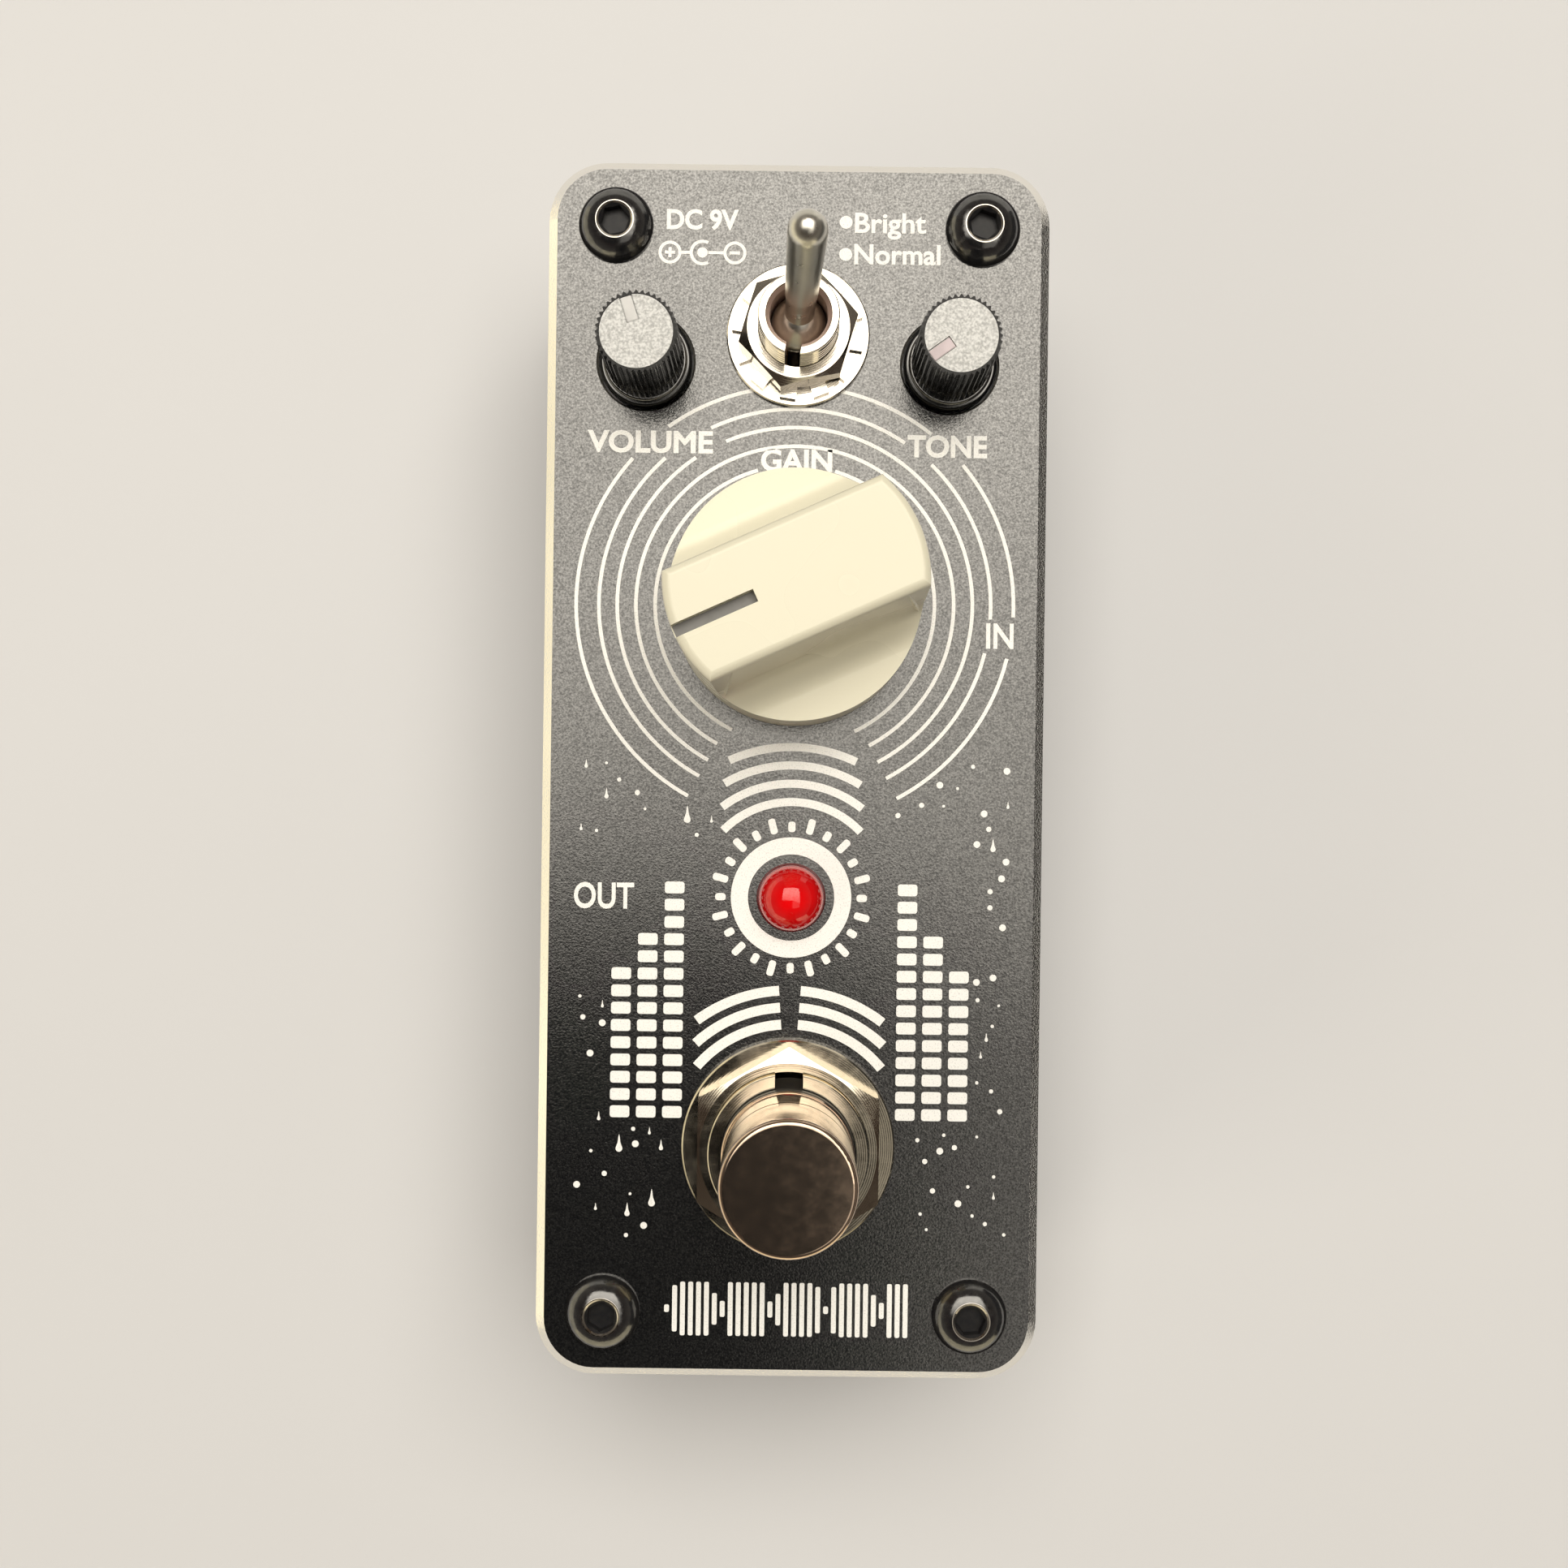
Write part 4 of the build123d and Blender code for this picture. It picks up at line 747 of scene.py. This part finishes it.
def print_artwork(ink):
    """Plain level meters, lamp dial and switch arcs in place of a picture."""
    art = Print("print_lamp_dial")
    art.band(LAMP, 3.95 * MM, 1.3 * MM)
    for tick in range(24):
        turn = 2 * pi * tick / 24
        long = 1.2 * MM if tick % 2 else 0.8 * MM
        reach = 5.0 * MM + long / 2
        art.bar(LAMP[0] + reach * cos(turn), LAMP[1] + reach * sin(turn), long, 0.55 * MM, turn)
    art.finish(ink)
    meters = Print("print_level_meters")
    for side in (-1, 1):
        for x, count in zip(METER_X, METER_SEGMENTS):
            for segment in range(count):
                y = METER_FOOT + segment * METER_PITCH
                meters.bar(side * x * MM, y * MM, 1.5 * MM, 0.9 * MM)
    meters.finish(ink)
    waves = Print("print_lamp_waves")
    for radius, spread in ((7.3, 46), (8.7, 38), (10.1, 31), (11.5, 25)):
        waves.band(LAMP, radius * MM, 0.62 * MM, 90 - spread, 90 + spread)
    waves.finish(ink)
    arcs = Print("print_switch_arcs")
    for radius, spread in ((9.2, 50), (10.5, 43), (11.8, 37)):
        for low, high in ((90 - spread, 86), (94, 90 + spread)):
            arcs.band(STOMP, radius * MM, 0.75 * MM, low, high)
    arcs.finish(ink)


def print_wave_title(ink):
    """Clipped waveform drawn as bars, where a title would stand."""
    wave = Print("print_clipped_wave")
    count, wide, high = 31, 18.8 * MM, 4.1 * MM
    y = -41.2 * MM
    for i in range(count):
        share = i / (count - 1)
        swing = abs(sin(share * 4.5 * pi)) * 1.9
        tall = high * max(0.14, min(1.0, swing))
        wave.bar((share - 0.5) * wide * 0.97, y, wide / count * 0.62, tall, corner=0.12 * MM)
    return wave.finish(ink)


SPECKS = 74


def print_specks(ink):
    """Scattered dots and drops over the lower panel, clear of all the other marks."""
    rng = random.Random(11)
    specks = Print("print_specks")
    placed = []
    while len(placed) < SPECKS:
        side = rng.choice((-1, 1))
        x = side * rng.uniform(5.0, 16.6)
        y = rng.uniform(-36.0, 1.0)
        busy = 7.6 < abs(x) < 14.1 and -27.4 < y < -4.4
        low_art = abs(x) < 9.6 and y < -14.0
        on_label = x < -11.3 and -12.0 < y < -7.4
        on_rings = (x * x + (y - 12.65) ** 2) ** 0.5 < 17.4
        near_lamp = (x * x + (y + 9.7) ** 2) ** 0.5 < 8.4
        crowded = any((x - a) ** 2 + (y - b) ** 2 < 1.3 for a, b in placed)
        if busy or low_art or on_label or on_rings or near_lamp or crowded:
            continue
        placed.append((x, y))
        size = rng.choice((0.11, 0.13, 0.16, 0.2, 0.26))
        tail = size * 3.2 if rng.random() < 0.25 else 0.0
        specks.dot(x * MM, y * MM, size * MM, tail * MM)
    return specks.finish(ink)


def print_panel():
    ink = printed_ink()
    print_rings(ink)
    print_polarity(ink)
    print_labels(ink)
    print_artwork(ink)
    print_wave_title(ink)
    print_specks(ink)


# ---------------------------------------------------------------- knob pointers
POINTERS = (
    ("volume_knob_cap", "volume_control", 108.0, (0.58, 0.565, 0.53)),
    ("tone_knob_cap", "tone_control", 216.0, (0.54, 0.455, 0.45)),
)


def inlay(name, centre, points_to, reach, wide, heights, rounding, material, body):
    """Rounded bar along a pointer, between two distances from the axis and two heights."""
    inner, outer = reach
    foot, top = heights
    made = bmesh.new()
    bmesh.ops.create_cube(made, size=1.0)
    bmesh.ops.scale(made, vec=(outer - inner, wide, top - foot), verts=made.verts)
    bmesh.ops.translate(made, vec=((inner + outer) / 2, 0, (top + foot) / 2), verts=made.verts)
    bmesh.ops.bevel(made, geom=made.edges, offset=rounding, segments=2, affect="EDGES")
    made.transform(Matrix.Translation((*centre, 0)) @ Matrix.Rotation(radians(points_to), 4, "Z"))
    data = bpy.data.meshes.new(name)
    made.to_mesh(data)
    made.free()
    place(name, data, material, body)


def knob_pointers():
    """Pale inlays in the small knobs' pointer recesses."""
    for node, body, points_to, tint in POINTERS:
        name = node.replace("_knob_cap", "_pointer")
        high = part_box(node)[1]
        inlay(name, axis_of(node), points_to, (0.78 * MM, 2.58 * MM), 0.80 * MM,
              (high.z - 0.2 * MM, high.z - 0.08 * MM), 0.04 * MM,
              moulded(name + "_inlay", tint, 0.45, 0.2), body)


def slot_floor():
    """Grey fill line on the floor of the gain knob's pointer slot."""
    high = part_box("gain_knob")[1]
    radius, slot_deep = 8.93 * MM, 1.0 * MM
    foot, thick = high.z - slot_deep + 0.01 * MM, 0.1 * MM
    inlay("gain_pointer_fill", GAIN, GAIN_POINTS, (radius - 6.2 * MM, radius - 0.05 * MM), 0.84 * MM,
          (foot, foot + thick), 0.03 * MM,
          moulded("pointer_fill", (0.17, 0.165, 0.155), 0.5, 0.2), "gain_control")


# ---------------------------------------------------------------- studio
def floor():
    s = Shader("studio_floor", (0.70, 0.69, 0.67), 0.7)
    s.link(s.ramp(s.noise(60.0), (0.69, 0.68, 0.66), (0.72, 0.71, 0.69)), "Base Color")
    data = bpy.data.meshes.new("studio_floor")
    made = bmesh.new()
    bmesh.ops.create_grid(made, x_segments=1, y_segments=1, size=3.0)
    made.to_mesh(data)
    made.free()
    data.materials.append(s.mat)
    plane = bpy.data.objects.new("studio_floor", data)
    bpy.context.scene.collection.objects.link(plane)
    plane.location.z = cad_box[0][2] - 0.02 * MM


def soft_light(name, place_at, aim, size, watts, colour=(1, 1, 1)):
    """Rectangular light that isn't mirrored: the cards give the reflections."""
    data = bpy.data.lights.new(name, "AREA")
    data.shape = "RECTANGLE"
    data.size, data.size_y = size
    data.energy = watts
    data.color = colour
    lamp = bpy.data.objects.new(name, data)
    bpy.context.scene.collection.objects.link(lamp)
    lamp.location = place_at
    lamp.rotation_euler = (Vector(aim) - Vector(place_at)).to_track_quat("-Z", "Y").to_euler()
    lamp.visible_camera = False
    lamp.visible_glossy = False


def card(name, corners, glow, colour=(1.0, 0.935, 0.825)):
    """Flat glowing card that is only seen mirrored. glow(s) gives its strength socket."""
    s = Shader(name, (0, 0, 0), 1.0)
    s.set(Emission_Color=(*colour, 1), Specular_IOR_Level=0.0)
    s.link(glow(s), "Emission Strength")
    data = bpy.data.meshes.new(name)
    data.from_pydata(corners, [], [(0, 1, 2, 3)])
    data.materials.append(s.mat)
    made = bpy.data.objects.new(name, data)
    bpy.context.scene.collection.objects.link(made)
    made.visible_camera = False
    made.visible_diffuse = False
    made.visible_shadow = False


SKY_HIGH = 1.0
SKY_EDGE = -0.125


def sky_glow(s):
    """Bright towards the socket end, fading out over the footswitch, with a dim right side."""
    split = s.node("SeparateXYZ", Vector=s.coords)
    x, y = split.outputs["X"], split.outputs["Y"]
    lean = s.math("MULTIPLY", s.math("MAXIMUM", x, 0.0), 0.35)
    fade = s.math("DIVIDE", s.math("ADD", s.math("SUBTRACT", y, SKY_EDGE), lean), -SKY_EDGE)
    fade = s.math("MINIMUM", s.math("MAXIMUM", fade, 0.0), 1.0)
    level = s.ramp(y, 2.3, 4.3, 0.0, 0.40)
    veil = s.ramp(s.noise(110.0, 2.0, 0.5), 0.82, 1.1, 0.35, 0.65)
    main = s.math("MULTIPLY", s.math("MULTIPLY", fade, level), veil)
    return s.math("MAXIMUM", main, s.ramp(x, 0.0, 0.72, 0.035, 0.14))


def even_glow(strength):
    """Glow of one strength with soft clouds."""
    return lambda s: s.ramp(s.noise(40.0, 2.0, 0.5), strength * 0.7, strength * 1.15, 0.3, 0.7)


def sky():
    """Cards mirrored by the panel and, low down, by its cut edges: the right one stays dark."""
    z = PANEL_TOP + SKY_HIGH
    half, near, deep = 0.6, -0.62, 0.85
    card("sky_card", ((-half, near, z), (half, near, z), (half, deep, z), (-half, deep, z)), sky_glow)
    foot, top, far = 0.002, 0.075, 0.16
    side, end = 0.2, 0.15
    card("left_card", ((-far, -side, foot), (-far, side, foot), (-far, side, top), (-far, -side, top)),
         even_glow(1.25), (1.0, 0.90, 0.66))
    card("front_card", ((-end, -far, foot), (end, -far, foot), (end, -far, top), (-end, -far, top)),
         even_glow(1.5), (1.0, 0.88, 0.60))
    card("back_card", ((-end, far, foot), (end, far, foot), (end, far, top), (-end, far, top)),
         even_glow(0.9), (1.0, 0.94, 0.82))
    card("right_card", ((far, -side, foot), (far, side, foot), (far, side, top), (far, -side, top)),
         even_glow(0.05), (1.0, 0.95, 0.9))


def surroundings():
    """Dim warm ceiling, paler towards the horizon."""
    world = bpy.data.worlds.new("studio")
    bpy.context.scene.world = world
    world.use_nodes = True
    tree = world.node_tree
    back = tree.nodes["Background"]
    coords = tree.nodes.new("ShaderNodeTexCoord")
    split = tree.nodes.new("ShaderNodeSeparateXYZ")
    tree.links.new(coords.outputs["Generated"], split.inputs[0])
    ramp = tree.nodes.new("ShaderNodeValToRGB")
    tree.links.new(split.outputs["Z"], ramp.inputs[0])
    ramp.color_ramp.elements[0].position = 0.05
    ramp.color_ramp.elements[0].color = (0.34, 0.31, 0.26, 1)
    ramp.color_ramp.elements[1].position = 0.75
    ramp.color_ramp.elements[1].color = (0.060, 0.041, 0.032, 1)
    tree.links.new(ramp.outputs[0], back.inputs[0])
    back.inputs[1].default_value = 0.8


CAMERA_ABOVE = 132.6 * MM
CAMERA_X, CAMERA_Y = -0.65 * MM, -1.03 * MM
CAMERA_TURN = 0.73
FRAME_WIDE_AT_PANEL = 119.85 * MM


def camera():
    data = bpy.data.cameras.new("camera")
    data.sensor_width = 36.0
    data.lens = 36.0 * CAMERA_ABOVE / FRAME_WIDE_AT_PANEL
    data.clip_start = 0.005
    view = bpy.data.objects.new("camera", data)
    bpy.context.scene.collection.objects.link(view)
    view.location = (CAMERA_X, CAMERA_Y, PANEL_TOP + CAMERA_ABOVE)
    view.rotation_euler = (0, 0, radians(CAMERA_TURN))
    bpy.context.scene.camera = view


def studio():
    floor()
    soft_light("key", (0.08, 0.325, 1.03), (0.0, 0.0, 0.03), (0.90, 0.80), 13.0, (1.0, 0.97, 0.92))
    soft_light("fill", (-0.9, -0.5, 0.5), (0, 0, 0.02), (0.6, 0.6), 2.5, (1.0, 0.93, 0.82))
    sky()
    surroundings()
    camera()
    bpy.context.scene.view_settings.view_transform = "Standard"


dress_all()
print_panel()
knob_pointers()
slot_floor()
studio()

bpy.context.view_layer.update()
